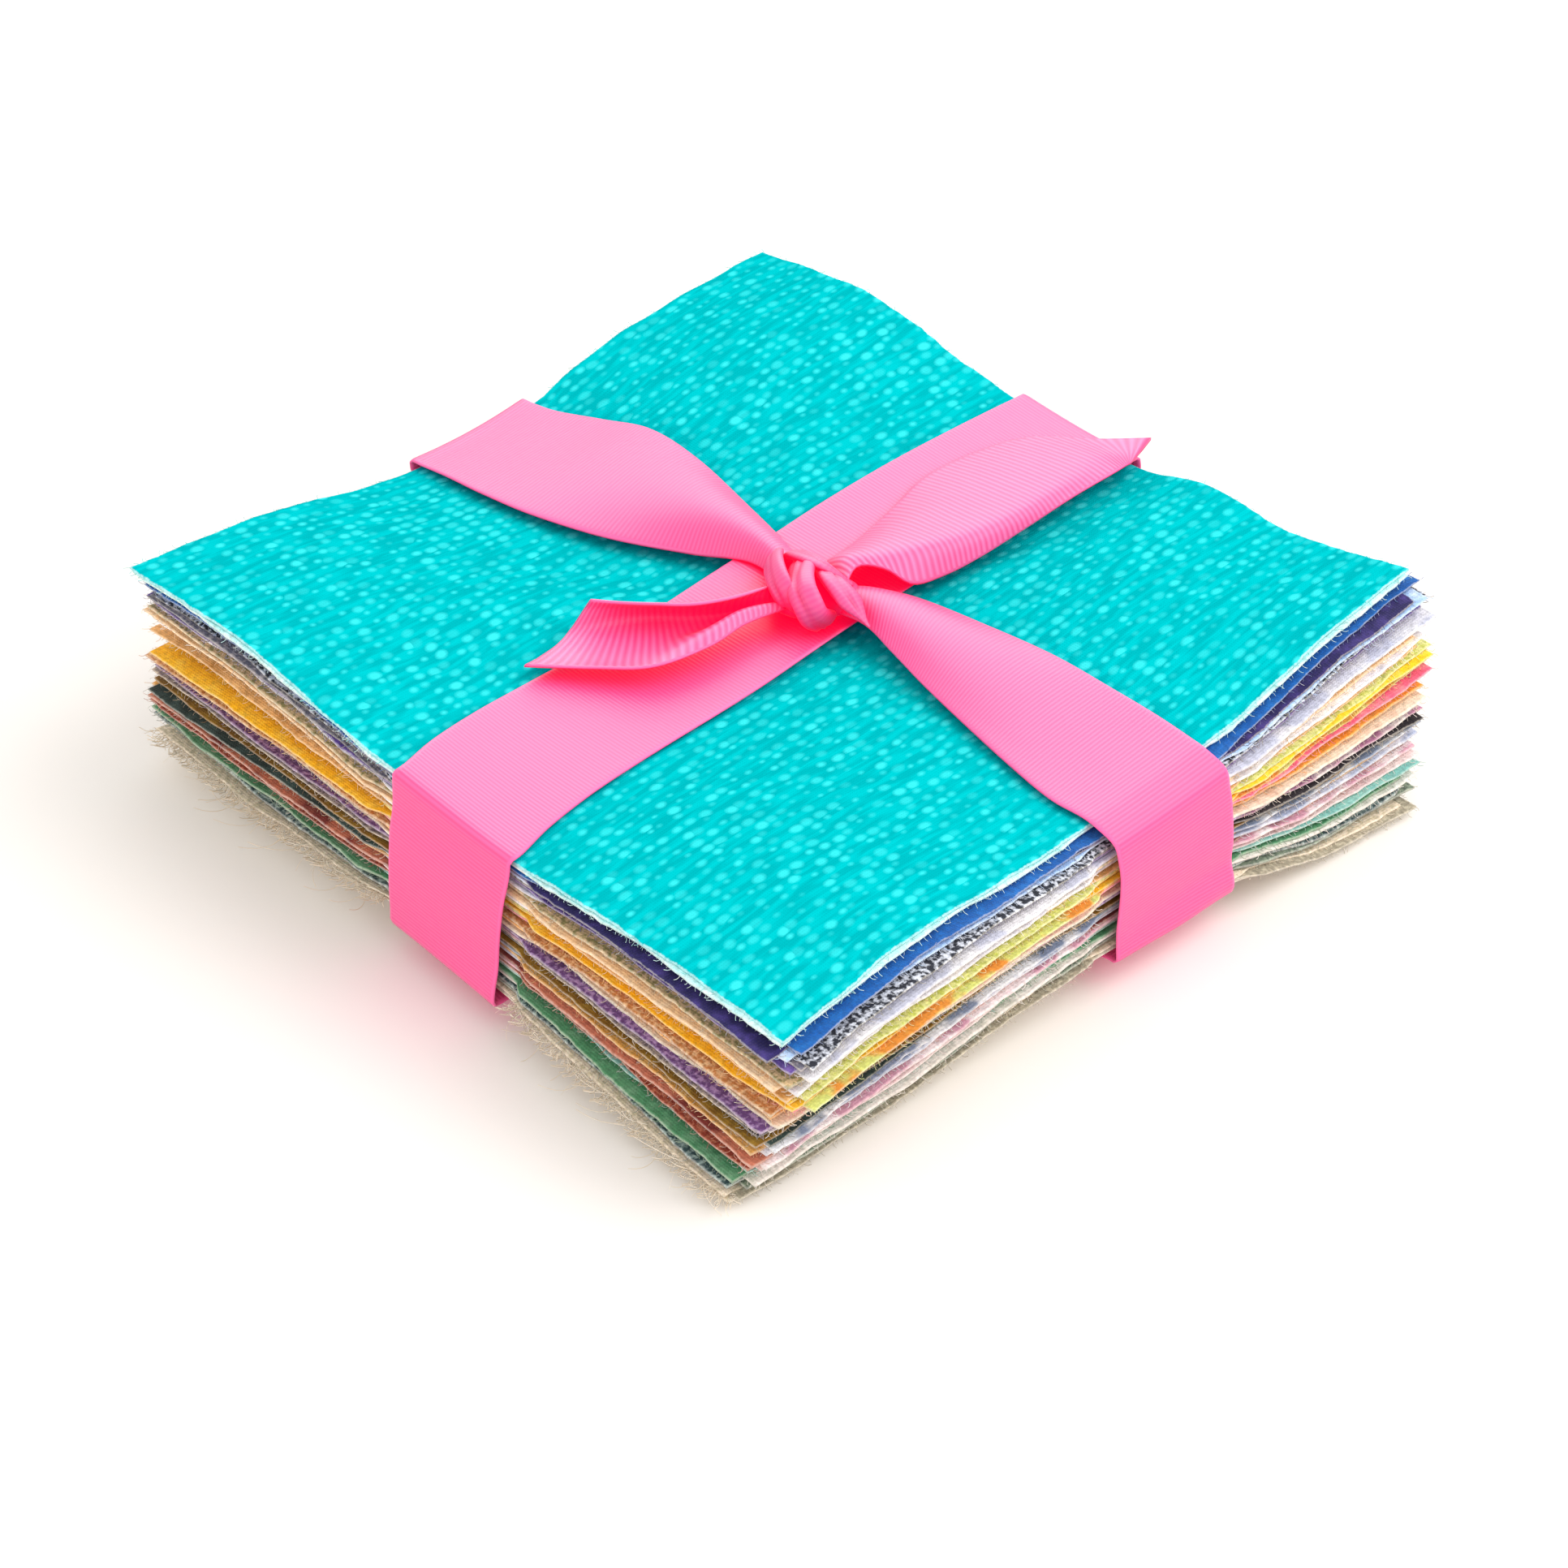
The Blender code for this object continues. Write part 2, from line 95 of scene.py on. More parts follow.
# %% Colour and node helpers
def linear(code, alpha=1.0):
    """Linear RGBA from an sRGB hex code."""
    channels = [int(code[n:n + 2], 16) / 255.0 for n in (0, 2, 4)]
    return (*[c / 12.92 if c <= 0.04045 else ((c + 0.055) / 1.055) ** 2.4 for c in channels], alpha)


def add(tree, kind, feeds=None, **settings):
    """Adds a node to a tree, with its settings, and links or sets its inputs."""
    node = tree.nodes.new(kind)
    for name, value in settings.items():
        setattr(node, name, value)
    for name, value in (feeds or {}).items():
        if isinstance(value, bpy.types.NodeSocket):
            tree.links.new(value, node.inputs[name])
        else:
            node.inputs[name].default_value = value
    return node


def new_material(name):
    """An empty material with a Principled shader, and that shader."""
    material = bpy.data.materials.new(name)
    material.use_nodes = True
    return material, material.node_tree, material.node_tree.nodes["Principled BSDF"]


# %% [markdown]
# ## The form of the pile
#
# The pile isn't flat: its corners curl up, its middle is pressed down by the ribbon, and the
# underside is drawn up at the middle of each edge. The part describes its top and its underside
# by heights in short tables, with a smooth curve through them, and shares the loose height among
# the squares. The same tables are used here, so that the thin cottons lie where the solids do,
# but numpy works them out for thousands of points at once.

# %% Tables of the pile's form, in millimetres
SIDE = 127.0  # 5 inches
HALF = SIDE / 2
SQUARES = 17
CLOTH = 1.0  # one solid square, which stands for two or three cottons
AIR = 0.3
RIBBON_WIDTH = 23.0
RIBBON = 1.0
EDGE_WAVE = 0.35  # how far the solids' cut edges wander
GAPE = 0.055  # how unevenly the squares share the loose height
GAPE_SIDE = 0.6
GAPE_TURNS = 3.0
ACROSS = (-HALF, -40.0, -13.0, 13.0, 27.0, 42.0, HALF)
TOP_SECTIONS = (
    # y, then the height at each place across
    (-HALF, (38.6, 37.3, 32.2, 28.8, 29.2, 28.8, 27.4)),
    (-40.0, (35.4, 34.6, 30.2, 29.2, 30.2, 30.8, 30.0)),
    (-13.0, (28.4, 30.4, 28.8, 28.6, 29.2, 29.4, 28.8)),
    (13.0, (27.6, 29.6, 28.6, 28.6, 29.4, 29.6, 28.8)),
    (27.0, (30.6, 31.4, 29.2, 28.8, 30.6, 31.2, 29.8)),
    (42.0, (32.2, 33.2, 29.6, 29.2, 31.6, 32.4, 33.4)),
    (HALF, (31.5, 34.4, 29.6, 28.8, 32.2, 31.8, 36.0)),
)
UNDER_SECTIONS = (
    (-HALF, (5.0, 5.0, 6.6, 6.0, 4.6, 2.4, 0.8)),
    (-40.0, (3.4, 2.0, 2.2, 2.0, 1.8, 1.6, 2.4)),
    (-13.0, (4.8, 2.0, 1.9, 1.9, 2.0, 2.4, 6.2)),
    (13.0, (4.4, 2.0, 1.9, 1.9, 2.0, 2.6, 6.7)),
    (26.0, (3.0, 1.8, 2.0, 2.0, 2.0, 2.4, 5.4)),
    (40.0, (2.0, 1.6, 2.2, 2.2, 2.0, 1.8, 1.4)),
    (HALF, (2.0, 2.4, 5.4, 5.2, 3.6, 2.2, 1.0)),
)
SQUARE_TABLE = (
    # shift x, shift y, degrees clockwise, from the bottom up
    (2.8, -0.8, 5.2), (2.2, -0.6, 4.4), (2.8, -0.6, 3.8), (2.2, -0.4, 3.2), (2.8, -0.8, 2.8),
    (2.6, -0.4, 3.0), (3.2, -0.8, 2.4), (2.8, -0.2, 2.8), (3.8, -0.6, 2.2), (2.8, -0.4, 1.6),
    (4.2, 0.0, 0.4), (3.6, 0.2, 0.8), (3.0, -0.2, 1.4), (3.6, 0.2, 0.6), (3.0, 0.4, 0.4),
    (2.0, 0.2, 1.2), (0.0, 0.0, 0.0),
)


# %% Heights in the pile
def curve_through(places, values, at):
    """Values at some places on a smooth curve through the given values."""
    places = np.asarray(places, float)
    values = np.asarray(values, float)
    at = np.clip(np.asarray(at, float), places[0], places[-1])
    last = len(places) - 1
    before = np.maximum(np.arange(last + 1) - 1, 0)
    after = np.minimum(np.arange(last + 1) + 1, last)
    columns = (-1,) + (1,) * (values.ndim - 1)
    slopes = (values[after] - values[before]) / (places[after] - places[before]).reshape(columns)
    span = np.clip(np.searchsorted(places, at, side="right") - 1, 0, last - 1)
    width = places[span + 1] - places[span]
    t = (at - places[span]) / width
    for _ in range(values.ndim - 1):
        t = t[..., None]
        width = width[..., None]
    rise = t * t * (3.0 - 2.0 * t)
    return (values[span] * (1.0 - rise) + values[span + 1] * rise
            + width * (t * (1.0 - t) ** 2 * slopes[span] - t * t * (1.0 - t) * slopes[span + 1]))


def section_height(sections, x, y):
    """Height of the surface that a table of sections describes."""
    rows = [row[0] for row in sections]
    heights = np.array([row[1] for row in sections])
    across = curve_through(ACROSS, np.eye(len(ACROSS)), x)
    along = curve_through(rows, np.eye(len(rows)), y)
    return np.einsum("...i,ij,...j->...", along, heights, across)


def pile_top(x, y):
    """Height of the pile's top."""
    return section_height(TOP_SECTIONS, x, y)


def pile_under(x, y):
    """Height of the pile's underside."""
    return section_height(UNDER_SECTIONS, x, y)


def square_underside(number, x, y):
    """Height of a square's lower face; the squares share the pile's loose height."""
    low = pile_under(x, y)
    packed = SQUARES * CLOTH + (SQUARES - 1) * AIR
    loose = np.maximum(pile_top(x, y) - low - packed, 0.0)
    share = number / (SQUARES - 1)
    gape = GAPE * math.sin(math.pi * share * GAPE_TURNS)
    uneven = (x * y) / (HALF * HALF) - GAPE_SIDE * (x + y) / SIDE
    return low + number * (CLOTH + AIR) + loose * (share + gape * uneven)


def square_place(row, u, v):
    """Place of a square's own point (u, v) after its turn and shift."""
    shift_x, shift_y, degrees = row
    turn = math.radians(degrees)
    x = u * math.cos(turn) + v * math.sin(turn) + shift_x
    y = v * math.cos(turn) - u * math.sin(turn) + shift_y
    return x, y


print("height of the top at its middle and front corner:",
      [round(float(pile_top(*p)), 1) for p in ((0.0, 0.0), (HALF, -HALF))])

# %% [markdown]
# ## A skin over rows of points
#
# Cloth and ribbon are both thin closed skins. Each can be written as rows of points that close
# round: a cotton's rows are rings that shrink from its cut edge to its middle, on both faces, and
# a ribbon's rows are thin loops round its cross-section. One function makes a mesh from such rows
# and keeps, as a UV map, where each point lay on the flat cloth before it was folded, in metres.
# A weave or a print drawn on that map follows the cloth wherever it bends.

# %% Mesh from rows of points
TABLE_GAP = 0.02  # no point lies nearer to the table than this


def skin(name, points, flat, material, ring=False):
    """Closed mesh over rows of points that close round; a ring joins its last row to its first."""
    points = np.concatenate((points[..., :2], np.maximum(points[..., 2:], TABLE_GAP)), -1)
    rows, columns = points.shape[:2]
    last = rows if ring else rows - 1
    r = np.repeat(np.arange(last), columns)
    c = np.tile(np.arange(columns), last)
    beside = (c + 1) % columns
    corners = ((r, c), (r, beside), (r + 1, beside), (r + 1, c))
    quads = np.stack([(a % rows) * columns + b for a, b in corners], 1)
    maps = np.stack([flat[a, b] for a, b in corners], 1)
    flat_points = points.reshape(-1, 3)
    p = flat_points[quads]
    volume = ((p[:, 0] * np.cross(p[:, 1], p[:, 2])).sum()
              + (p[:, 0] * np.cross(p[:, 2], p[:, 3])).sum())
    faces = quads.tolist()
    face_maps = maps.tolist()
    if not ring:
        faces.append(list(range(columns - 1, -1, -1)))
        face_maps.append(flat[0, ::-1].tolist())
        faces.append(list(range((rows - 1) * columns, rows * columns)))
        face_maps.append(flat[-1].tolist())
    if volume < 0:
        faces = [face[::-1] for face in faces]
        face_maps = [face[::-1] for face in face_maps]
    mesh = bpy.data.meshes.new(name)
    mesh.from_pydata((flat_points * MM).tolist(), [], faces)
    layer = mesh.uv_layers.new(name="flat")
    layer.data.foreach_set("uv", np.array([uv for face in face_maps for uv in face]).ravel() * MM)
    mesh.shade_smooth()
    mesh.materials.append(material)
    mesh.validate()
    obj = bpy.data.objects.new(name, mesh)
    bpy.context.scene.collection.objects.link(obj)
    return obj


# %% [markdown]
# ## Quilting cotton
#
# The squares are quilting cotton: plain weave, about 0.3 mm thick, printed on one face and paler
# on the other, with a soft matt finish. The print is a ground colour with a small regular motif.
# Where it is cut, the ends of the yarns show nearly white, because the dye lies on the surface.
# Yarns could be modelled one by one, but a thousand of them cross each square, so they are drawn
# from the flat map instead: the print by its position, the cut edge by how close it is to
# 63.5 mm, and the weave as two crossed sets of fine ribs. The paler back hardly shows in a pile,
# so it is left out.

# %% Cotton materials
YARN = 0.42 * MM  # yarns are about 0.35 mm apart; drawn a little coarser, so that they show
WAVE_AT_ONE = 0.314  # length in metres of one wave of a Wave Texture whose scale is 1
CUT_EDGE = 0.16 * MM
CUT_YARN = "F2E9DC"
EDGE_PALENESS = 0.35
PRINTS = {
    # scale of the noise, and the noise where the second colour starts and where it is full
    "flecks": (1250.0, 0.44, 0.64),  # 0.8 mm across
    "blotches": (170.0, 0.44, 0.58),  # 6 mm across
    "plain": (420.0, 0.42, 0.85),  # an unevenness of 2.4 mm, as a nearly plain print has
}


def print_mask(tree, flat, pattern):
    """Socket that is 1 where a small print puts its second colour."""
    scale, low, high = PRINTS[pattern]
    noise = add(tree, "ShaderNodeTexNoise", {"Vector": flat, "Scale": scale, "Detail": 2.0},
                noise_dimensions="2D")
    mask = add(tree, "ShaderNodeMapRange", {"Value": noise.outputs["Fac"], "From Min": low,
                                            "From Max": high})
    return mask.outputs["Result"]


def cut_edge_mask(tree, flat, width):
    """Socket that is 1 at a square's cut edge, a little ragged."""
    parts = add(tree, "ShaderNodeSeparateXYZ", {"Vector": flat})
    sides = [add(tree, "ShaderNodeMath", {0: parts.outputs[axis]}, operation="ABSOLUTE").outputs[0]
             for axis in ("X", "Y")]
    reach = add(tree, "ShaderNodeMath", {0: sides[0], 1: sides[1]}, operation="MAXIMUM")
    ragged = add(tree, "ShaderNodeTexNoise", {"Vector": flat, "Scale": 1900.0, "Detail": 2.0})
    shifted = add(tree, "ShaderNodeMath", {0: ragged.outputs["Fac"], 1: width * 2.2,
                                           2: reach.outputs[0]}, operation="MULTIPLY_ADD")
    near = add(tree, "ShaderNodeMapRange", {"Value": shifted.outputs[0],
                                            "From Min": HALF * MM + width * 0.1,
                                            "From Max": HALF * MM + width * 1.1})
    return near.outputs["Result"]


def weave_height(tree, flat):
    """Socket with the height of a plain weave's crossed yarns."""
    waves = []
    for axis in ("X", "Y"):
        waves.append(add(tree, "ShaderNodeTexWave", {"Vector": flat, "Scale": WAVE_AT_ONE / YARN,
                                                     "Distortion": 0.6, "Detail Scale": 200.0},
                         bands_direction=axis).outputs["Fac"])
    return add(tree, "ShaderNodeMath", {0: waves[0], 1: waves[1]}, operation="MULTIPLY").outputs[0]


def cotton(name, ground, motif, pattern):
    """Printed quilting cotton: matt, slightly uneven in colour, paler at its raw cut edge."""
    material, tree, shader = new_material(name)
    flat = add(tree, "ShaderNodeUVMap", uv_map="flat").outputs["UV"]
    printed = add(tree, "ShaderNodeMix", {"Factor": print_mask(tree, flat, pattern),
                                          "A": linear(ground), "B": linear(motif)}, data_type="RGBA")
    uneven = add(tree, "ShaderNodeTexNoise", {"Vector": flat, "Scale": 1500.0, "Detail": 3.0})
    shade = add(tree, "ShaderNodeMapRange", {"Value": uneven.outputs["Fac"], "From Min": 0.3,
                                             "From Max": 0.7, "To Min": 0.76, "To Max": 1.24})
    worn = add(tree, "ShaderNodeVectorMath", {0: printed.outputs["Result"],
                                              "Scale": shade.outputs["Result"]}, operation="SCALE")
    edge = add(tree, "ShaderNodeMath", {0: cut_edge_mask(tree, flat, CUT_EDGE), 1: EDGE_PALENESS},
               operation="MULTIPLY")
    colour = add(tree, "ShaderNodeMix", {"Factor": edge.outputs[0], "A": worn.outputs["Vector"],
                                         "B": linear(CUT_YARN)}, data_type="RGBA")
    bump = add(tree, "ShaderNodeBump", {"Height": weave_height(tree, flat), "Strength": 0.5,
                                        "Distance": 0.1 * MM})
    tree.links.new(colour.outputs["Result"], shader.inputs["Base Color"])
    tree.links.new(bump.outputs["Normal"], shader.inputs["Normal"])
    shader.inputs["Roughness"].default_value = 0.88
    shader.inputs["Sheen Weight"].default_value = 0.15
    shader.inputs["Specular IOR Level"].default_value = 0.25
    return material


# %% [markdown]
# ## The turquoise print
#
# The top square has rows of soft pale dots on turquoise, about 2 mm apart, and faint streaks
# between them along the rows. An image of the cloth could be wrapped over it, but a small allover
# print like this one follows simple rules, so a generic one is built from them: cells in rows, a
# dot of random size and paleness in each cell, a slight wander, and a stretched noise for the
# streaks. The cloth has no gloss at all, which keeps the turquoise deep under the bright lights.

# %% Turquoise cotton material
ROW_PITCH = 1.9 * MM
DOT_PITCH = 2.7 * MM
DOT_WANDER = 0.8 * MM
STREAK_WIDTH = 1.0 * MM
STREAK_LENGTH = 8.0 * MM
TOP_CUT_EDGE = 0.22 * MM
TOP_EDGE_PALENESS = 0.7
TURQUOISE = "00AEB3"
STREAK = "00C2C6"
DOT = "3CE6E8"
TOP_CUT_YARN = "DDFBFA"


def turquoise_cotton():
    """Printed quilting cotton in turquoise: quite matt, with soft pale dots and a pale raw edge."""
    material, tree, shader = new_material("printed_cotton_turquoise")
    flat = add(tree, "ShaderNodeUVMap", uv_map="flat").outputs["UV"]
    wander = add(tree, "ShaderNodeTexNoise", {"Vector": flat, "Scale": 160.0, "Detail": 2.0})
    wander_by = add(tree, "ShaderNodeVectorMath", {0: wander.outputs["Color"], 1: (0.5, 0.5, 0.5)},
                    operation="SUBTRACT")
    placed = add(tree, "ShaderNodeVectorMath", {0: wander_by.outputs["Vector"], 1: (DOT_WANDER,) * 3,
                                                2: flat}, operation="MULTIPLY_ADD")
    cells_at = add(tree, "ShaderNodeMapping", {"Vector": placed.outputs["Vector"],
                                               "Scale": (1.0 / ROW_PITCH, 1.0 / DOT_PITCH, 1.0)})
    cells = add(tree, "ShaderNodeTexVoronoi", {"Vector": cells_at.outputs["Vector"], "Scale": 1.0,
                                               "Randomness": 0.6}, voronoi_dimensions="2D")
    size = add(tree, "ShaderNodeSeparateColor", {"Color": cells.outputs["Color"]})
    radius = add(tree, "ShaderNodeMapRange", {"Value": size.outputs["Red"], "To Min": 0.1,
                                              "To Max": 0.36})
    inside = add(tree, "ShaderNodeMath", {0: radius.outputs["Result"], 1: cells.outputs["Distance"]},
                 operation="SUBTRACT")
    dots = add(tree, "ShaderNodeMapRange", {"Value": inside.outputs[0], "From Min": -0.13,
                                            "From Max": 0.12})
    bright = add(tree, "ShaderNodeMapRange", {"Value": size.outputs["Green"], "To Min": 0.25,
                                              "To Max": 0.95})
    dot_amount = add(tree, "ShaderNodeMath", {0: dots.outputs["Result"], 1: bright.outputs["Result"]},
                     operation="MULTIPLY")
    streaks_at = add(tree, "ShaderNodeMapping", {"Vector": placed.outputs["Vector"],
                                                 "Scale": (1.0 / STREAK_WIDTH, 1.0 / STREAK_LENGTH,
                                                           1.0)})
    streaks = add(tree, "ShaderNodeTexNoise", {"Vector": streaks_at.outputs["Vector"], "Scale": 1.0,
                                               "Detail": 1.0}, noise_dimensions="2D")
    streak_amount = add(tree, "ShaderNodeMapRange", {"Value": streaks.outputs["Fac"], "From Min": 0.36,
                                                     "From Max": 0.64, "To Max": 1.0})
    ground = add(tree, "ShaderNodeMix", {"Factor": streak_amount.outputs["Result"],
                                         "A": linear(TURQUOISE), "B": linear(STREAK)},
                 data_type="RGBA")
    printed = add(tree, "ShaderNodeMix", {"Factor": dot_amount.outputs[0],
                                          "A": ground.outputs["Result"], "B": linear(DOT)},
                  data_type="RGBA")
    edge = add(tree, "ShaderNodeMath", {0: cut_edge_mask(tree, flat, TOP_CUT_EDGE),
                                        1: TOP_EDGE_PALENESS}, operation="MULTIPLY")
    colour = add(tree, "ShaderNodeMix", {"Factor": edge.outputs[0], "A": printed.outputs["Result"],
                                         "B": linear(TOP_CUT_YARN)}, data_type="RGBA")
    bump = add(tree, "ShaderNodeBump", {"Height": weave_height(tree, flat), "Strength": 0.45,
                                        "Distance": 0.1 * MM})
    tree.links.new(colour.outputs["Result"], shader.inputs["Base Color"])
    tree.links.new(bump.outputs["Normal"], shader.inputs["Normal"])
    shader.inputs["Roughness"].default_value = 0.95
    shader.inputs["Specular IOR Level"].default_value = 0.0
    return material


# %% [markdown]
# ## The cottons
#
# A hand-stacked pile never has its edges in line: each cotton lies a little shifted or turned, so
# on one side of the pile one colour sticks out, and on the next side another. Each cotton could
# get chance shifts alone, but then the wrong colours would show. So each has a named way to lie
# here, on top of its square's own place, with only a little chance added. Under the ribbon they
# are all pressed in line.

# %% Table of the cottons
WAYS = {
    # shift x, shift y and degrees clockwise, for the side where a cotton sticks out most
    "front": (-0.6, -0.7, 0.0),
    "front_far": (-0.6, -1.3, 0.0),
    "front_right": (-0.4, -0.6, 0.6),
    "front_right_far": (-0.5, -1.1, 0.7),
    "left": (-0.7, -0.2, -0.9),
    "left_far": (-0.8, -0.6, -1.1),
    "side": (0.7, 0.6, 0.0),
    "side_left": (0.7, 0.5, -0.4),
    "right": (0.5, 0.6, 1.1),
    "side_near": (-0.3, 0.3, -1.6),
    "side_low": (0.3, 0.8, -0.9),
    "side_far": (1.0, 0.6, -0.5),
    "all": (0.1, -0.3, 0.0),
    "margin": (0.4, -0.25, 0.15),
    "true": (0.0, 0.0, 0.0),
}
COTTONS = (
    # square, way that it lies, ground, motif, pattern
    (1, "all", "EFE4D0", "D8C8A8", "plain"),
    (1, "side", "A89C86", "CBBFA6", "flecks"),
    (1, "front", "FFE9CF", "E2CFAE", "flecks"),
    (2, "side", "8C9A84", "5C6A5C", "flecks"),
    (2, "front_right", "3A5054", "A8B8B4", "flecks"),
    (3, "side", "F0E6DE", "C9C4B4", "plain"),
    (3, "front_right_far", "4F8F62", "77A982", "plain"),
    (4, "right", "7FBEB4", "A8D8C8", "plain"),
    (4, "side", "F4E2DD", "E9C6C4", "plain"),
    (4, "front", "9C402A", "C87858", "flecks"),
    (5, "side", "F8E8E6", "E0A4B4", "blotches"),
    (5, "front", "CC7C62", "8A3A34", "blotches"),
    (6, "side", "E9E6F0", "B9C0D8", "blotches"),
    (6, "front", "E2A04A", "F0C078", "plain"),
    (7, "side", "EAECF2", "8A98B4", "blotches"),
    (7, "left_far", "22332E", "48605A", "plain"),
    (7, "front_right", "8C6010", "B48A2C", "plain"),
    (8, "right", "241E22", "443A3E", "plain"),
    (8, "front", "CBB79E", "8A7A78", "flecks"),
    (8, "side", "F5E8E2", "C080A0", "blotches"),
    (9, "front_right", "654078", "A684B6", "flecks"),
    (9, "side", "F3E7CF", "E6C4A8", "plain"),
    (10, "right", "F2A230", "F8BE5C", "plain"),
    (10, "front", "C4824A", "E8C090", "flecks"),
    (11, "right", "F4648A", "F8A0A8", "plain"),
    (11, "side_left", "D6DA7C", "E8943A", "blotches"),
    (11, "front_far", "FFBE10", "FFD24A", "plain"),
    (12, "right", "FAD01C", "FCE060", "plain"),
    (12, "side_left", "E6E494", "C8CC60", "flecks"),
    (12, "front", "F9C684", "C88A3C", "plain"),
    (13, "side_far", "FAF6F4", "DAD6E8", "plain"),
    (13, "front", "FFCF9A", "FFE4C0", "plain"),
    (14, "front", "DFBE8C", "968A52", "flecks"),
    (14, "side_far", "F2EEF0", "D2D2E2", "blotches"),
    (15, "front", "5B3F92", "8A6CB4", "plain"),
    (15, "left", "6E6A78", "A89CA0", "flecks"),
    (15, "side_low", "2A2C36", "E4E6EE", "flecks"),
    (16, "side", "A9CAF4", "D8E6FA", "plain"),
    (16, "front_right", "201752", "4A3A86", "plain"),
    (16, "side_near", "0A58A6", "1C70BE", "plain"),
    (17, "margin", "BFEFED", "F4FFFF", "plain"),
    (17, "true", "00CED1", "4FF4F4", "top"),
)
print("cottons in the pile:", len(COTTONS))

# %% Where the ribbon presses the edges in line
PRESSED_HALF = 13.0  # edges are pressed this far to each side of the ribbon's middle
PRESSED_FADE = 4.5  # and are free again this much further out
RIBBON_AT_SIDE = {
    # side of the pile: middle of the ribbon at the bottom and at the top
    "-y": (0.8, 2.4), "+x": (9.6, 7.3), "+y": (1.4, 1.2), "-x": (3.0, 1.8),
}


def smooth_step(low, high, value):
    """0 below the first value, 1 above the second, and a smooth rise between them."""
    t = np.clip((value - low) / (high - low), 0.0, 1.0)
    return t * t * (3.0 - 2.0 * t)


def side_of(unit):
    """The side of the pile that each point of a square's outline is on."""
    flatter = np.abs(unit[:, 0]) >= np.abs(unit[:, 1])
    return np.where(flatter, np.where(unit[:, 0] > 0, "+x", "-x"),
                    np.where(unit[:, 1] > 0, "+y", "-y"))


def free_of_ribbon(level, unit, x, y):
    """1 where a square's edge is free, 0 where the ribbon presses it, for points of its outline."""
    sides = side_of(unit)
    free = np.ones(len(x))
    for side, (low, high) in RIBBON_AT_SIDE.items():
        along = x if side[1] == "y" else y
        away = np.abs(along - (low + (high - low) * level))
        here = smooth_step(PRESSED_HALF, PRESSED_HALF + PRESSED_FADE, away)
        free = np.where(sides == side, here, free)
    return free


# %% Mesh of one cotton
POINTS_A_SIDE = 84
# distances in from the cut edge; only the top and the underside of the pile need many
HIDDEN_RINGS = (0.3, 1.5, 5.0, 16.0, 62.5)
SHOWN_RINGS = (0.3, 0.8, 1.6, 2.6, 4.0) + tuple(float(d) for d in np.linspace(5.5, 62.5, 40))
# round the cut edge from the upper face to the lower: distance in, and share of the thickness
CUT_STATIONS = ((0.08, 0.9), (0.0, 0.68), (0.0, 0.28), (0.08, 0.04))
UPPER_FACE = 0.96
CHANCE = 0.16  # most that chance adds to a shift in mm or to a turn in degrees
CHANCE_ON_TOP = 0.02
# waves of the cut line in the cloth's plane, and out of it: their lengths and how far each goes
RAGGED_WAVES = ((38.0, 15.0, 4.0), (0.11, 0.07, 0.035))
RAGGED_NOISE = 0.035
FLUTTER_WAVES = ((60.0, 24.0, 9.0), (0.055, 0.045, 0.02))
FLUTTER_ON_TOP = 0.35  # share of it that the top square has
# how far in from the cut edge each of them, and a cotton's own shift, fades
RAGGED_REACH = 2.5
FLUTTER_REACH = 9.0
SHIFT_REACH = 14.0


def outline():
    """Points round a square of half side 1, and each one's outward direction."""
    steps = np.linspace(-1.0, 1.0, POINTS_A_SIDE, endpoint=False)
    ones = np.ones(POINTS_A_SIDE)
    return np.concatenate([np.stack(pair, 1) for pair in
                           ((steps, -ones), (ones, steps), (-steps, ones), (-ones, -steps))])


def wandering(rng, count, lengths, amounts):
    """A closed line that wanders about zero: a sum of waves of the given lengths."""
    place = np.arange(count) / count
    line = np.zeros(count)
    for length, amount in zip(lengths, amounts):
        turns = 4.0 * SIDE / length
        for _ in range(3):
            line += amount * np.sin(2.0 * math.pi * (place * round(turns * rng.uniform(0.7, 1.3))
                                                     + rng.uniform()))
    return line


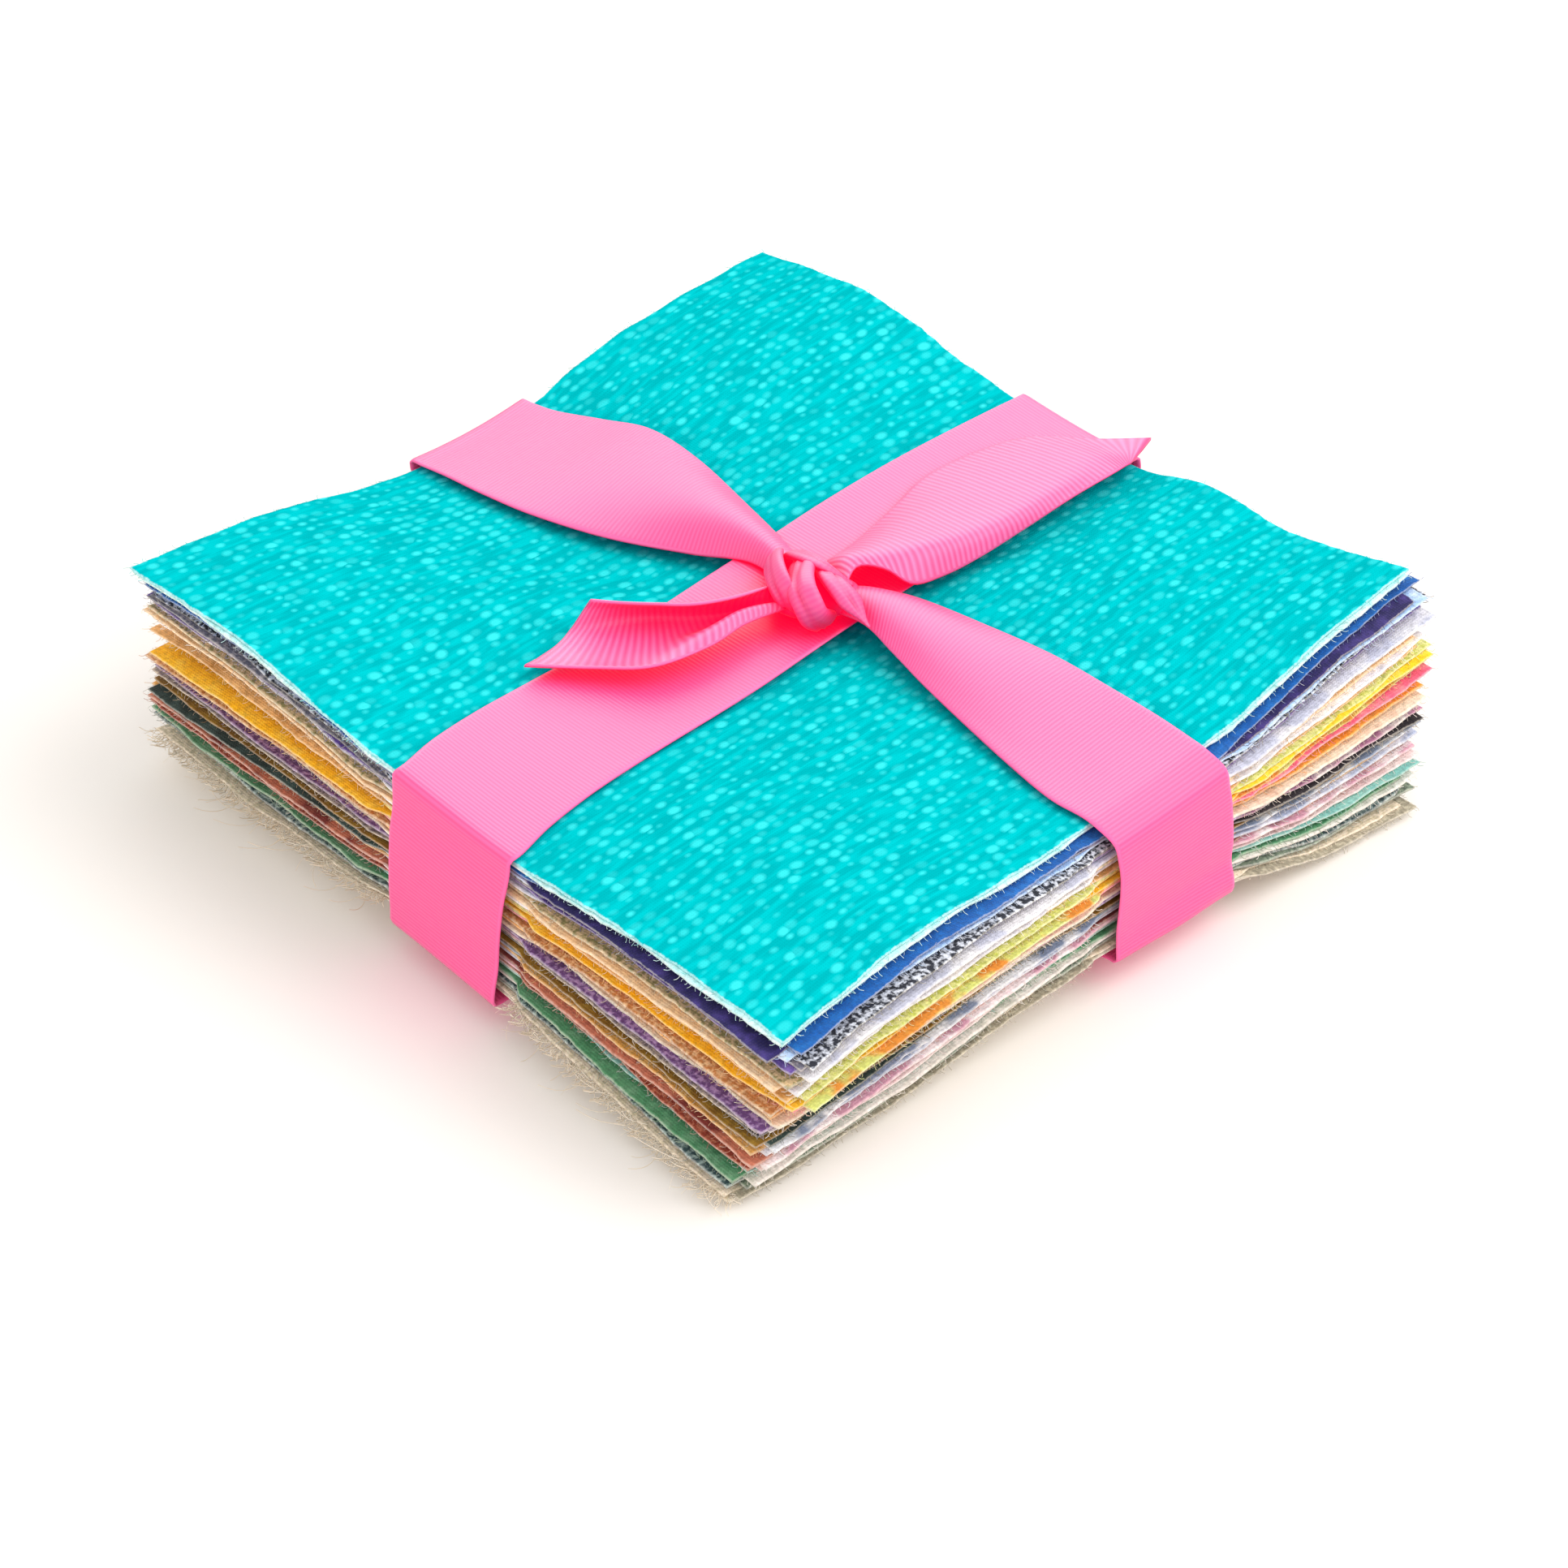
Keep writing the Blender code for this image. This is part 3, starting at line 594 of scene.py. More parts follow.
def cotton_points(index):
    """Rows of points over one cotton, its flat map, and its cut edge with the way out of it."""
    number, way, _, _, pattern = COTTONS[index]
    row = SQUARE_TABLE[number - 1]
    mine = [n for n, other in enumerate(COTTONS) if other[0] == number]
    layer = mine.index(index)
    thick = CLOTH / len(mine)
    level = (number - 0.5) / SQUARES
    rng = np.random.default_rng(700 + index)
    chance = CHANCE if number < SQUARES else CHANCE_ON_TOP
    shift_x, shift_y, degrees = np.array(WAYS[way]) + rng.uniform(-chance, chance, 3)
    unit = outline()
    count = len(unit)
    turn = math.radians(degrees)
    x0, y0 = square_place(row, unit[:, 0] * HALF, unit[:, 1] * HALF)
    free = free_of_ribbon(level, unit, x0, y0)
    out_u = np.where(np.abs(unit[:, 0]) > 0.9999, np.sign(unit[:, 0]), 0.0)
    out_v = np.where(np.abs(unit[:, 1]) > 0.9999, np.sign(unit[:, 1]), 0.0)
    ragged = wandering(rng, count, *RAGGED_WAVES) + rng.normal(0, RAGGED_NOISE, count)
    flutter = wandering(rng, count, *FLUTTER_WAVES) * free
    if number == SQUARES:
        flutter *= FLUTTER_ON_TOP
    rings_up = SHOWN_RINGS if pattern == "top" else HIDDEN_RINGS
    rings_down = SHOWN_RINGS if index == 0 else HIDDEN_RINGS
    stations = [(d, UPPER_FACE) for d in reversed(rings_up)] + list(CUT_STATIONS)
    stations += [(d, 0.0) for d in rings_down]
    points = np.zeros((len(stations), count, 3))
    flat = np.zeros((len(stations), count, 2))
    for n, (inset, share) in enumerate(stations):
        u = unit[:, 0] * (HALF - inset)
        v = unit[:, 1] * (HALF - inset)
        loose = ragged * math.exp(-inset / RAGGED_REACH) * free
        x, y = square_place(row, u + out_u * loose, v + out_v * loose)
        fade = free * math.exp(-inset / SHIFT_REACH)
        x = x + (shift_x + turn * v) * fade
        y = y + (shift_y - turn * u) * fade
        z = square_underside(number - 1, x, y) + thick * (layer + share)
        z = z + flutter * math.exp(-inset / FLUTTER_REACH)
        points[n] = np.stack((x, y, z), 1)
        flat[n] = np.stack((u, v), 1)
    edge = points[len(rings_up) + 1]
    row_turn = math.radians(row[2])
    out_x = out_u * math.cos(row_turn) + out_v * math.sin(row_turn)
    out_y = out_v * math.cos(row_turn) - out_u * math.sin(row_turn)
    return points, flat, edge, np.stack((out_x, out_y, np.zeros(count)), 1), free


# %% Make the cottons
cut_edges = {}
for index, (number, _, ground, motif, pattern) in enumerate(COTTONS):
    letter = "abc"[sum(1 for other in COTTONS[:index] if other[0] == number)]
    name = f"cotton_{number:02d}_{letter}"
    material = (turquoise_cotton() if pattern == "top"
                else cotton(f"printed_{name}", ground, motif, pattern))
    points, flat, edge, outward, free = cotton_points(index)
    piece = skin(name, points, flat, material)
    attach(piece, "root")
    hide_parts(f"square_{number:02d}")
    cut_edges.setdefault(number, []).append((edge, outward, free, ground))
print("last cotton's top in mm:", round(points[..., 2].max(), 1))

# %% [markdown]
# ## The way of the ribbon
#
# One ribbon 23 mm wide goes round the pile both ways. Its middle line and its five lanes come
# from the part's tables: round the sides against the squares that stick out most, over the top
# with the lift that the knot gives it, and flat on the surface underneath. A curve through the
# part's rows gives the many short steps that a smooth ribbon needs.

# %% Tables of the ribbon
# the band along Y: its middle's x at each y on the top, how far the knot lifts it there, and its
# middle's x under the pile
BAND_MIDDLE_TOP = ((-HALF, 2.4), (-50.0, 0.2), (-25.0, -0.4), (0.0, 0.2), (25.0, 0.4), (HALF, 1.2))
BAND_LIFT_TOP = ((-HALF, 0.0), (-20.0, 0.0), (0.0, 1.6), (18.0, 2.0), (40.0, 1.4), (HALF, 0.0))
BAND_MIDDLE_UNDER = ((-HALF, 0.8), (-30.0, 0.5), (0.0, 0.4), (30.0, 0.8), (HALF, 1.4))
# the band along X: its middle's y at the top of each side, and at each x under the pile, where
# it lies on the other band
CROSS_MIDDLE_MINUS = 1.8
CROSS_MIDDLE_PLUS = 7.3
CROSS_MIDDLE_UNDER = ((-HALF, 3.0), (-30.0, 2.0), (0.0, 2.0), (30.0, 5.0), (HALF, 9.6))
CROSS_RAISED = 0.6
CROSS_RAISED_HALF = 13.0
FLAT_HALF = 30.0  # both bands lie flat on the surface this far from the middle
RISE_LENGTH = 22.0  # and then rise to the pile's edge over this length
NEAR = (-2.0, 0.0, 2.0)  # a ribbon also clears the pile this far beside each of its points
ARM_PLUS = (
    # low edge, ridge and high edge, each as x, y and the height that it stands off the pile
    ((57.0, -4.6, 0.1), (56.5, 7.0, 0.3), (56.0, 18.8, 0.1)),
    ((48.5, -3.4, 0.3), (48.2, 7.6, 1.0), (48.0, 18.4, 0.3)),
    ((38.5, -1.4, 0.6), (38.0, 8.4, 2.2), (37.5, 17.8, 0.8)),
    ((28.5, 0.6, 1.4), (27.0, 8.6, 3.6), (25.5, 16.2, 1.4)),
    ((20.5, 2.6, 2.2), (17.5, 8.6, 4.8), (14.5, 14.6, 2.0)),
    ((14.0, 4.0, 3.0), (11.5, 7.4, 5.2), (9.0, 10.8, 3.2)),
    ((8.5, 2.6, 3.6), (7.0, 4.8, 4.8), (5.5, 7.0, 3.6)),
)
ARM_MINUS = (
    ((-57.0, -9.8, 0.1), (-57.2, 2.0, 0.3), (-57.5, 13.6, 0.1)),
    ((-49.0, -10.2, 0.3), (-49.4, 2.8, 0.9), (-49.5, 15.4, 0.6)),
    ((-39.0, -9.4, 0.7), (-40.2, 5.6, 2.2), (-41.0, 17.0, 1.6)),
    ((-27.5, -5.6, 1.0), (-29.5, 7.0, 3.6), (-30.5, 16.2, 2.0)),
    ((-16.5, 0.4, 1.4), (-18.5, 7.4, 5.0), (-18.0, 13.8, 2.0)),
    ((-8.0, 4.2, 2.4), (-8.5, 7.2, 5.0), (-8.5, 11.0, 2.6)),
    ((1.5, 2.4, 3.2), (2.0, 4.6, 4.8), (2.4, 6.8, 3.4)),
)
TAIL_BACK = (
    # left edge, three points between, right edge, each as x, y, z
    ((3.6, 6.0, 32.8), (4.6, 6.4, 34.0), (6.0, 6.6, 34.8), (7.2, 6.5, 35.0), (8.4, 6.3, 35.2)),
    ((0.9, 9.6, 33.0), (2.6, 9.8, 34.8), (4.4, 10.0, 36.0), (6.0, 10.0, 36.3), (7.4, 9.9, 36.0)),
    ((0.4, 13.6, 32.8), (3.0, 13.6, 34.8), (5.6, 13.4, 36.1), (8.0, 13.0, 36.4), (10.2, 12.6, 35.5)),
    ((0.0, 17.0, 32.7), (3.0, 17.0, 34.7), (6.4, 16.8, 36.0), (10.2, 16.2, 36.1), (13.2, 14.8, 33.2)),
    ((-0.6, 20.6, 32.6), (3.0, 20.6, 34.6), (7.0, 20.6, 35.7), (11.6, 20.4, 35.9), (14.2, 19.6, 32.4)),
    ((-2.4, 28.4, 32.4), (2.2, 28.2, 34.0), (7.0, 27.6, 35.0), (13.0, 27.2, 35.3), (15.0, 26.6, 32.4)),
    ((-4.1, 36.0, 32.4), (1.6, 36.0, 33.6), (7.2, 36.0, 34.3), (13.4, 36.2, 34.5), (15.0, 36.4, 32.4)),
    ((-3.2, 46.0, 32.2), (1.9, 46.2, 33.2), (7.0, 46.6, 33.7), (12.6, 47.0, 33.8), (15.0, 47.4, 32.6)),
    ((0.2, 54.4, 32.3), (4.0, 54.8, 32.8), (7.6, 55.2, 33.1), (11.4, 55.6, 33.2), (15.2, 56.0, 32.5)),
    ((8.0, 60.4, 32.7), (9.8, 60.0, 32.9), (11.6, 59.6, 33.0), (13.4, 59.2, 33.0), (15.3, 58.6, 32.6)),
    ((13.6, 65.8, 32.9), (14.1, 64.2, 32.9), (14.6, 62.6, 32.9), (15.0, 61.0, 32.8),
     (15.4, 59.2, 32.6)),
)
TAIL_FRONT = (
    # far edge, two points down to the valley, two up the near side, and the near edge, rolled over
    ((1.4, 0.4, 35.4), (2.2, 0.0, 34.6), (3.0, -0.3, 33.8),
     (3.8, -0.8, 33.6), (4.6, -1.3, 34.4), (5.2, -2.4, 34.0)),
    ((0.5, -7.8, 36.6), (-0.8, -7.6, 35.4), (-1.0, -7.8, 33.2),
     (0.3, -8.0, 32.8), (1.8, -8.0, 34.9), (3.6, -9.2, 34.0)),
    ((-2.2, -13.2, 36.8), (-3.8, -12.2, 35.4), (-4.0, -12.0, 32.9),
     (-1.6, -13.2, 32.2), (1.2, -14.0, 34.4), (3.2, -15.7, 33.5)),
    ((-6.6, -17.3, 36.8), (-7.9, -16.2, 35.2), (-8.0, -16.0, 32.7),
     (-5.0, -18.8, 31.9), (-1.4, -22.4, 32.8), (0.6, -24.2, 33.3)),
    ((-10.2, -20.2, 36.8), (-11.3, -19.8, 35.0), (-11.3, -20.6, 32.7),
     (-9.4, -24.0, 31.9), (-7.0, -27.8, 32.2), (-5.5, -29.8, 32.9)),
    ((-13.5, -22.4, 36.8), (-14.2, -23.2, 35.0), (-14.2, -25.8, 33.0),
     (-13.5, -29.0, 32.4), (-13.0, -33.0, 32.5), (-12.8, -36.2, 32.9)),
)
SIDE_ROWS = (
    # level in the pile's height, levels searched for the squares it lies on, out, up
    (0.03, 0.08, -1.8, -0.1),
    (0.03, 0.08, 0.1, 0.1),
    (0.08, 0.14, 0.2, 0.2),
    (0.25, 0.18, 0.0, 0.0),
    (0.43, 0.18, 0.0, 0.0),
    (0.61, 0.18, 0.0, 0.0),
    (0.79, 0.18, 0.0, 0.0),
    (0.92, 0.14, 0.0, 0.0),
    (0.97, 0.04, -0.1, -0.3),
    (0.97, 0.04, -2.2, 0.0),
)
LANES = np.array((-0.5, -0.25, 0.0, 0.25, 0.5))


# %% Rows of points along the ribbon
def edge_reach(side, level, window, along):
    """How far out a ribbon lies against the squares near a level, on one side of the pile."""
    reach = []
    for number, (shift_x, shift_y, degrees) in enumerate(SQUARE_TABLE):
        if abs((number + 0.5) / SQUARES - level) > window:
            continue
        lean = along * math.sin(math.radians(degrees))
        reach.append({"-y": HALF - shift_y + lean, "+y": HALF + shift_y - lean,
                      "+x": HALF + shift_x + lean, "-x": HALF - shift_x - lean}[side])
    return np.max(reach, axis=0) + EDGE_WAVE + AIR + RIBBON / 2


def resting(x, y):
    """Height of the middle of a ribbon that lies on the pile's top."""
    return np.max([pile_top(x + a, y + b) for a in NEAR for b in NEAR], axis=0) + AIR + RIBBON / 2


def hanging(x, y):
    """Height of the middle of a ribbon that runs under the pile."""
    return np.min([pile_under(x + a, y + b) for a in NEAR for b in NEAR], axis=0) - AIR - RIBBON / 2


def flat_then_up(along, floor, x, y):
    """Height of the ribbon's middle under the pile: on the surface, then up to the edge."""
    share = smooth_step(FLAT_HALF, FLAT_HALF + RISE_LENGTH, abs(along))
    return floor + share * np.maximum(hanging(x, y) - floor, 0.0)


def side_points(side, middle_low, middle_high):
    """Ribbon rows up one side of the pile, from its lower corner to its upper corner."""
    sign = -1.0 if side[0] == "-" else 1.0
    rows = []
    for number, (level, window, outward, upward) in enumerate(SIDE_ROWS):
        share = 0.0 if number < 2 else 1.0 if number >= len(SIDE_ROWS) - 2 else level
        across = middle_low + (middle_high - middle_low) * share + LANES * RIBBON_WIDTH
        edge = np.full(len(LANES), sign * HALF)
        x, y = (across, edge) if side[1] == "y" else (edge, across)
        low, high = hanging(x, y), resting(x, y)
        out = sign * (edge_reach(side, level, window, across) + outward)
        z = low + (high - low) * share + upward
        rows.append(np.stack((across, out, z) if side[1] == "y" else (out, across, z), 1))
    return rows


def band_rows():
    """Rows of the ribbon that runs along Y, right round the pile."""
    steps = (-56.0, -47.0, -38.0, -30.0, -21.0, -13.0, -6.0, 0.0,
             6.0, 13.0, 21.0, 30.0, 38.0, 47.0, 56.0)
    under_places, under_middles = zip(*BAND_MIDDLE_UNDER)
    rows = side_points("-y", under_middles[0], BAND_MIDDLE_TOP[0][1])
    for y in steps:
        x = curve_through(*zip(*BAND_MIDDLE_TOP), y) + LANES * RIBBON_WIDTH
        y = np.full(len(LANES), y)
        rows.append(np.stack((x, y, resting(x, y) + curve_through(*zip(*BAND_LIFT_TOP), y)), 1))
    rows += reversed(side_points("+y", under_middles[-1], BAND_MIDDLE_TOP[-1][1]))
    for y in (47.0, 30.0, 13.0, 0.0, -13.0, -30.0, -47.0):
        x = curve_through(under_places, under_middles, y) + LANES * RIBBON_WIDTH
        level = np.full(len(LANES), y)
        rows.append(np.stack((x, level, flat_then_up(y, RIBBON / 2, x, level)), 1))
    return np.array(rows)


def bent_row(left, middle, right, lanes):
    """Points across the ribbon on one bend through its left edge, middle and right edge."""
    left, middle, right = (np.array(p) for p in (left, middle, right))
    pull = middle * 2.0 - (left + right) / 2
    t = (lanes + 0.5)[:, None]
    return left * (1.0 - t) ** 2 + pull * (2.0 * t * (1.0 - t)) + right * t * t


def arm_rows(table):
    """Rows of one arm on the pile's top, from the edge to the knot."""
    rows = []
    for row in table:
        x, y, lift = bent_row(*row, LANES).T
        rows.append(np.stack((x, y, resting(x, y) + lift), 1))
    return rows


def cross_rows():
    """Rows of the ribbon that runs along X, from the knot round under the pile and back."""
    places, middles = zip(*CROSS_MIDDLE_UNDER)
    rows = list(reversed(arm_rows(ARM_PLUS)))
    rows += reversed(side_points("+x", middles[-1], CROSS_MIDDLE_PLUS))
    for x in (47.0, 30.0, 19.0, 13.0, 0.0, -13.0, -19.0, -30.0, -47.0):
        y = curve_through(places, middles, x) + LANES * RIBBON_WIDTH
        raised = CROSS_RAISED if abs(x) <= CROSS_RAISED_HALF else 0.0
        level = np.full(len(LANES), x)
        rows.append(np.stack((level, y, flat_then_up(x, RIBBON / 2 + raised, level, y)), 1))
    rows += side_points("-x", middles[0], CROSS_MIDDLE_MINUS)
    rows += arm_rows(ARM_MINUS)
    return np.array(rows)


# %% [markdown]
# ## Ribbed ribbon
#
# Grosgrain is woven with thick weft cords under a fine silky warp, which gives ribs straight
# across the ribbon and a firm edge on each side. The ribs could be real ridges, but they are only
# half a millimetre apart, so they are made in the material, as a wave along the flat map's
# length. The cloth itself is a thin skin with a rounded edge.
#
# Where folds of such a ribbon face each other, light bounces from pink to pink and shines through
# the cloth, and each bounce deepens the colour to crimson. A few bounces of a renderer don't
# reach that, so an Ambient Occlusion node finds how closed in a point is, and shade and light are
# painted there: the colour is painted a deeper crimson, the gloss is turned down, and a painted
# glow is added, on the pile's top only, because the floor would turn red under the sides.

# %% Mesh of a length of ribbon
STEP = 0.9  # between rows along the ribbon
THICK = 0.5  # of the cloth that shows; the solid is twice as thick
ACROSS_LANES = np.concatenate(([-0.5, -0.492, -0.475], np.linspace(-0.44, 0.44, 19),
                               [0.475, 0.492, 0.5]))


def fine_rows(rows, ring=False, lanes=LANES):
    """Many rows on smooth curves through a few, each with many points across."""
    if ring:
        rows = np.concatenate((rows[-3:], rows, rows[:4]))
    middle = rows[:, rows.shape[1] // 2]
    along = np.concatenate(([0.0], np.cumsum(np.linalg.norm(np.diff(middle, axis=0), axis=1))))
    start, end = (along[3], along[-4]) if ring else (0.0, along[-1])
    count = int(round((end - start) / STEP)) + 1
    at = np.linspace(start, end, count)
    if ring:
        at = at[:-1]
    fine = curve_through(along, rows, at)
    return curve_through(lanes, fine.transpose(1, 0, 2), ACROSS_LANES).transpose(1, 0, 2)


def settle(rows, gap=0.35):
    """Lifts points of a ribbon that would dip into the pile's top."""
    x, y, z = rows[..., 0], rows[..., 1], rows[..., 2]
    over = (np.abs(x) < HALF - 2.0) & (np.abs(y) < HALF - 2.0) & (z > 20.0)
    rows[..., 2] = np.where(over, np.maximum(z, pile_top(x, y) + gap + THICK / 2), z)
    return rows


def ribbon_skin(name, rows, material, ring=False, flip=1.0, proud=0.25):
    """A ribbon about rows of points; proud is how far its outer face stands off them."""
    ends = ((rows[-1:], rows[:1]) if ring else (2 * rows[:1] - rows[1:2], 2 * rows[-1:] - rows[-2:-1]))
    padded = np.concatenate((ends[0], rows, ends[1]))
    along = padded[2:] - padded[:-2]
    across = np.gradient(rows, axis=1)
    normal = np.cross(across, along) * flip
    normal /= np.maximum(np.linalg.norm(normal, axis=2, keepdims=True), 1e-9)
    edge = np.minimum(ACROSS_LANES + 0.5, 0.5 - ACROSS_LANES) * RIBBON_WIDTH
    round_off = np.sqrt(np.clip(edge / (0.6 * THICK), 0.0, 1.0))[None, :, None]
    stands = np.asarray(proud)
    stands = stands[..., None] if stands.ndim else stands
    middle = rows + normal * (stands - THICK / 2)
    outer = middle + normal * (THICK / 2) * round_off
    inner = middle - normal * (THICK / 2) * round_off
    loop = np.concatenate((outer, inner[:, -2:0:-1]), 1)
    middle_line = rows[:, rows.shape[1] // 2]
    steps = np.linalg.norm(np.diff(middle_line, axis=0), axis=1)
    length = np.concatenate(([0.0], np.cumsum(steps)))
    if ring:
        length = np.append(length, length[-1] + np.linalg.norm(middle_line[0] - middle_line[-1]))
    u = ACROSS_LANES * RIBBON_WIDTH
    u_loop = np.concatenate((u, u[-2:0:-1]))
    flat = np.stack(np.broadcast_arrays(u_loop[None, :], length[:, None]), -1)
    return skin(name, loop, flat, material, ring), length[-1]


# %% Grosgrain material
RIB = 0.62 * MM  # real ones are about 0.5 mm apart
LOOSE_RIB = 0.95 * MM  # drawn coarser than real on the tails, so that the ribs show
SELVEDGE = (0.7 * MM, 0.4 * MM)  # the smooth edge starts and is full this far in
FOLD_SHADE_FROM = 29.0 * MM  # the painted fold shade and glow are only put above this height
FOLD_SHADE_FULL = 31.0 * MM
PAINTED_GLOW = 0.26  # strength of the painted glow, which stands for light shining through a deep fold


def grosgrain(name, rib, relief, rib_highlight, reach, open_sky=0.84):
    """Pink polyester grosgrain: silky ribs with painted shade, painted shade and glow where folds face
    each other.

    Polyester's shine on the ribs gives the pale bloom on the ribbon's top. The reach is how near
    another fold has to be for the painted fold shade and glow, and open_sky is how much of the sky
    a point sees before it counts as folded in.
    """
    material, tree, shader = new_material(name)
    flat = add(tree, "ShaderNodeUVMap", uv_map="flat").outputs["UV"]
    ribs = add(tree, "ShaderNodeTexWave", {"Vector": flat, "Scale": WAVE_AT_ONE / rib,
                                           "Distortion": 0.15,
                                           "Detail Scale": 60.0}, bands_direction="Y")
    parts = add(tree, "ShaderNodeSeparateXYZ", {"Vector": flat})
    off_middle = add(tree, "ShaderNodeMath", {0: parts.outputs["X"]}, operation="ABSOLUTE")
    selvedge = add(tree, "ShaderNodeMapRange", {"Value": off_middle.outputs[0],
                                                "From Min": RIBBON_WIDTH / 2 * MM - SELVEDGE[0],
                                                "From Max": RIBBON_WIDTH / 2 * MM - SELVEDGE[1]})
    body = add(tree, "ShaderNodeMath", {0: 1.0, 1: selvedge.outputs["Result"]}, operation="SUBTRACT")
    rib_height = add(tree, "ShaderNodeMath", {0: ribs.outputs["Fac"], 1: body.outputs[0]},
                     operation="MULTIPLY")
    # painted shade and highlight on the ribs: a darker pink between them, a paler pink on them
    shade = add(tree, "ShaderNodeMix", {"Factor": rib_height.outputs[0], "A": linear("F04088"),
                                        "B": linear(rib_highlight)}, data_type="RGBA")
    colour = add(tree, "ShaderNodeMix", {"Factor": selvedge.outputs["Result"],
                                         "A": shade.outputs["Result"], "B": linear("FF5CA0")},
                 data_type="RGBA")
    # painted shade: Ambient Occlusion finds folds that face each other on the pile's top
    hidden = add(tree, "ShaderNodeAmbientOcclusion", {"Distance": reach}, samples=8)
    folded = add(tree, "ShaderNodeMapRange", {"Value": hidden.outputs["AO"], "From Min": open_sky,
                                              "From Max": 0.35})
    place = add(tree, "ShaderNodeTexCoord").outputs["Object"]
    height = add(tree, "ShaderNodeSeparateXYZ", {"Vector": place}).outputs["Z"]
    on_top = add(tree, "ShaderNodeMapRange", {"Value": height, "From Min": FOLD_SHADE_FROM,
                                              "From Max": FOLD_SHADE_FULL})
    painted_fold_shade = add(tree, "ShaderNodeMath", {0: folded.outputs["Result"], 1: on_top.outputs["Result"]},
                  operation="MULTIPLY")
    # painted fold shade: the colour is painted deep crimson there, and the gloss is turned down
    deep = add(tree, "ShaderNodeMix", {"Factor": painted_fold_shade.outputs[0], "A": colour.outputs["Result"],
                                       "B": linear("EA0044")}, data_type="RGBA")
    gloss = add(tree, "ShaderNodeMapRange", {"Value": painted_fold_shade.outputs[0], "To Min": 0.5,
                                             "To Max": 0.05})
    # painted glow: an emission in deep folds on the top, for light shining through the cloth
    through = add(tree, "ShaderNodeMath", {0: painted_fold_shade.outputs[0], 1: PAINTED_GLOW}, operation="MULTIPLY")
    bump = add(tree, "ShaderNodeBump", {"Height": rib_height.outputs[0], "Strength": relief,
                                        "Distance": 0.14 * MM})
    tree.links.new(deep.outputs["Result"], shader.inputs["Base Color"])
    tree.links.new(bump.outputs["Normal"], shader.inputs["Normal"])
    tree.links.new(gloss.outputs["Result"], shader.inputs["Specular IOR Level"])
    # the painted glow is crimson
    tree.links.new(through.outputs[0], shader.inputs["Emission Strength"])
    shader.inputs["Emission Color"].default_value = linear("FC0058")
    shader.inputs["Roughness"].default_value = 0.45
    shader.inputs["IOR"].default_value = 1.6
    shader.inputs["Sheen Weight"].default_value = 0.1
    shader.inputs["Sheen Tint"].default_value = linear("FFE4F0")
    return material


# the colour given is the painted highlight on each ribbon's ribs
pink = grosgrain("pink_grosgrain_stretched", RIB, 0.25, "FF5A9C", 7.0 * MM)
pink_loose = grosgrain("pink_grosgrain_loose", LOOSE_RIB, 0.5, "FF6CAA", 9.0 * MM)
pink_bunched = grosgrain("pink_grosgrain_bunched", RIB, 0.03, "F8508F", 12.0 * MM, 0.98)


def dress(piece):
    """Ties a piece of ribbon to the part, and hides the part's ribbon solid."""
    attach(piece, "root")
    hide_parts("ribbon")


# %% Make the two bands
TUCK = np.array((-1.4, 0.0, 1.6))  # the cross band's far lower corner is drawn in


def stands_off(rows, drop):
    """How far the outer face stands off its rows: half the solid at the sides, less on the top."""
    return RIBBON / 2 - drop * smooth_step(22.0, 27.0, rows[..., 2])


band = settle(fine_rows(band_rows(), ring=True))
band_piece, band_length = ribbon_skin("ribbon_band", band, pink, ring=True,
                                      proud=stands_off(band, 0.35))
dress(band_piece)

cross = settle(fine_rows(cross_rows()))
tucked = (smooth_step(8.0, 22.0, cross[..., 1]) * smooth_step(-10.0, 0.0, -cross[..., 2])
          * smooth_step(60.0, 66.0, cross[..., 0]))
cross = cross + tucked[..., None] * TUCK
cross_piece, cross_length = ribbon_skin("ribbon_cross_band", cross, pink, flip=-1.0,
                                        proud=stands_off(cross, 0.3))
dress(cross_piece)
print("ribbon round the pile in mm:", round(band_length), "and", round(cross_length))

# %% Make the two free tails
def tail(name, table, flip):
    """A free tail of loose grosgrain, over smooth rows through its table."""
    rows = fine_rows(np.array(table), lanes=np.linspace(-0.5, 0.5, len(table[0])))
    piece, length = ribbon_skin(name, rows, pink_loose, flip=flip)
    dress(piece)
    return length


tail_lengths = [tail("ribbon_tail_back", TAIL_BACK, 1.0),
                tail("ribbon_tail_front", TAIL_FRONT, -1.0)]
print("tails in mm:", [round(length) for length in tail_lengths])

# %% [markdown]
# ## The knot
#
# Near a tight knot the ribbon is bunched into soft cords. A cloth simulation could tie one, but
# it would be hard to make it end as the photograph shows. So each wrap is a fat strand with an
# uneven, creased cross-section that follows its own path over a small barrel, and they lie
# against each other as the strands of a real knot do.

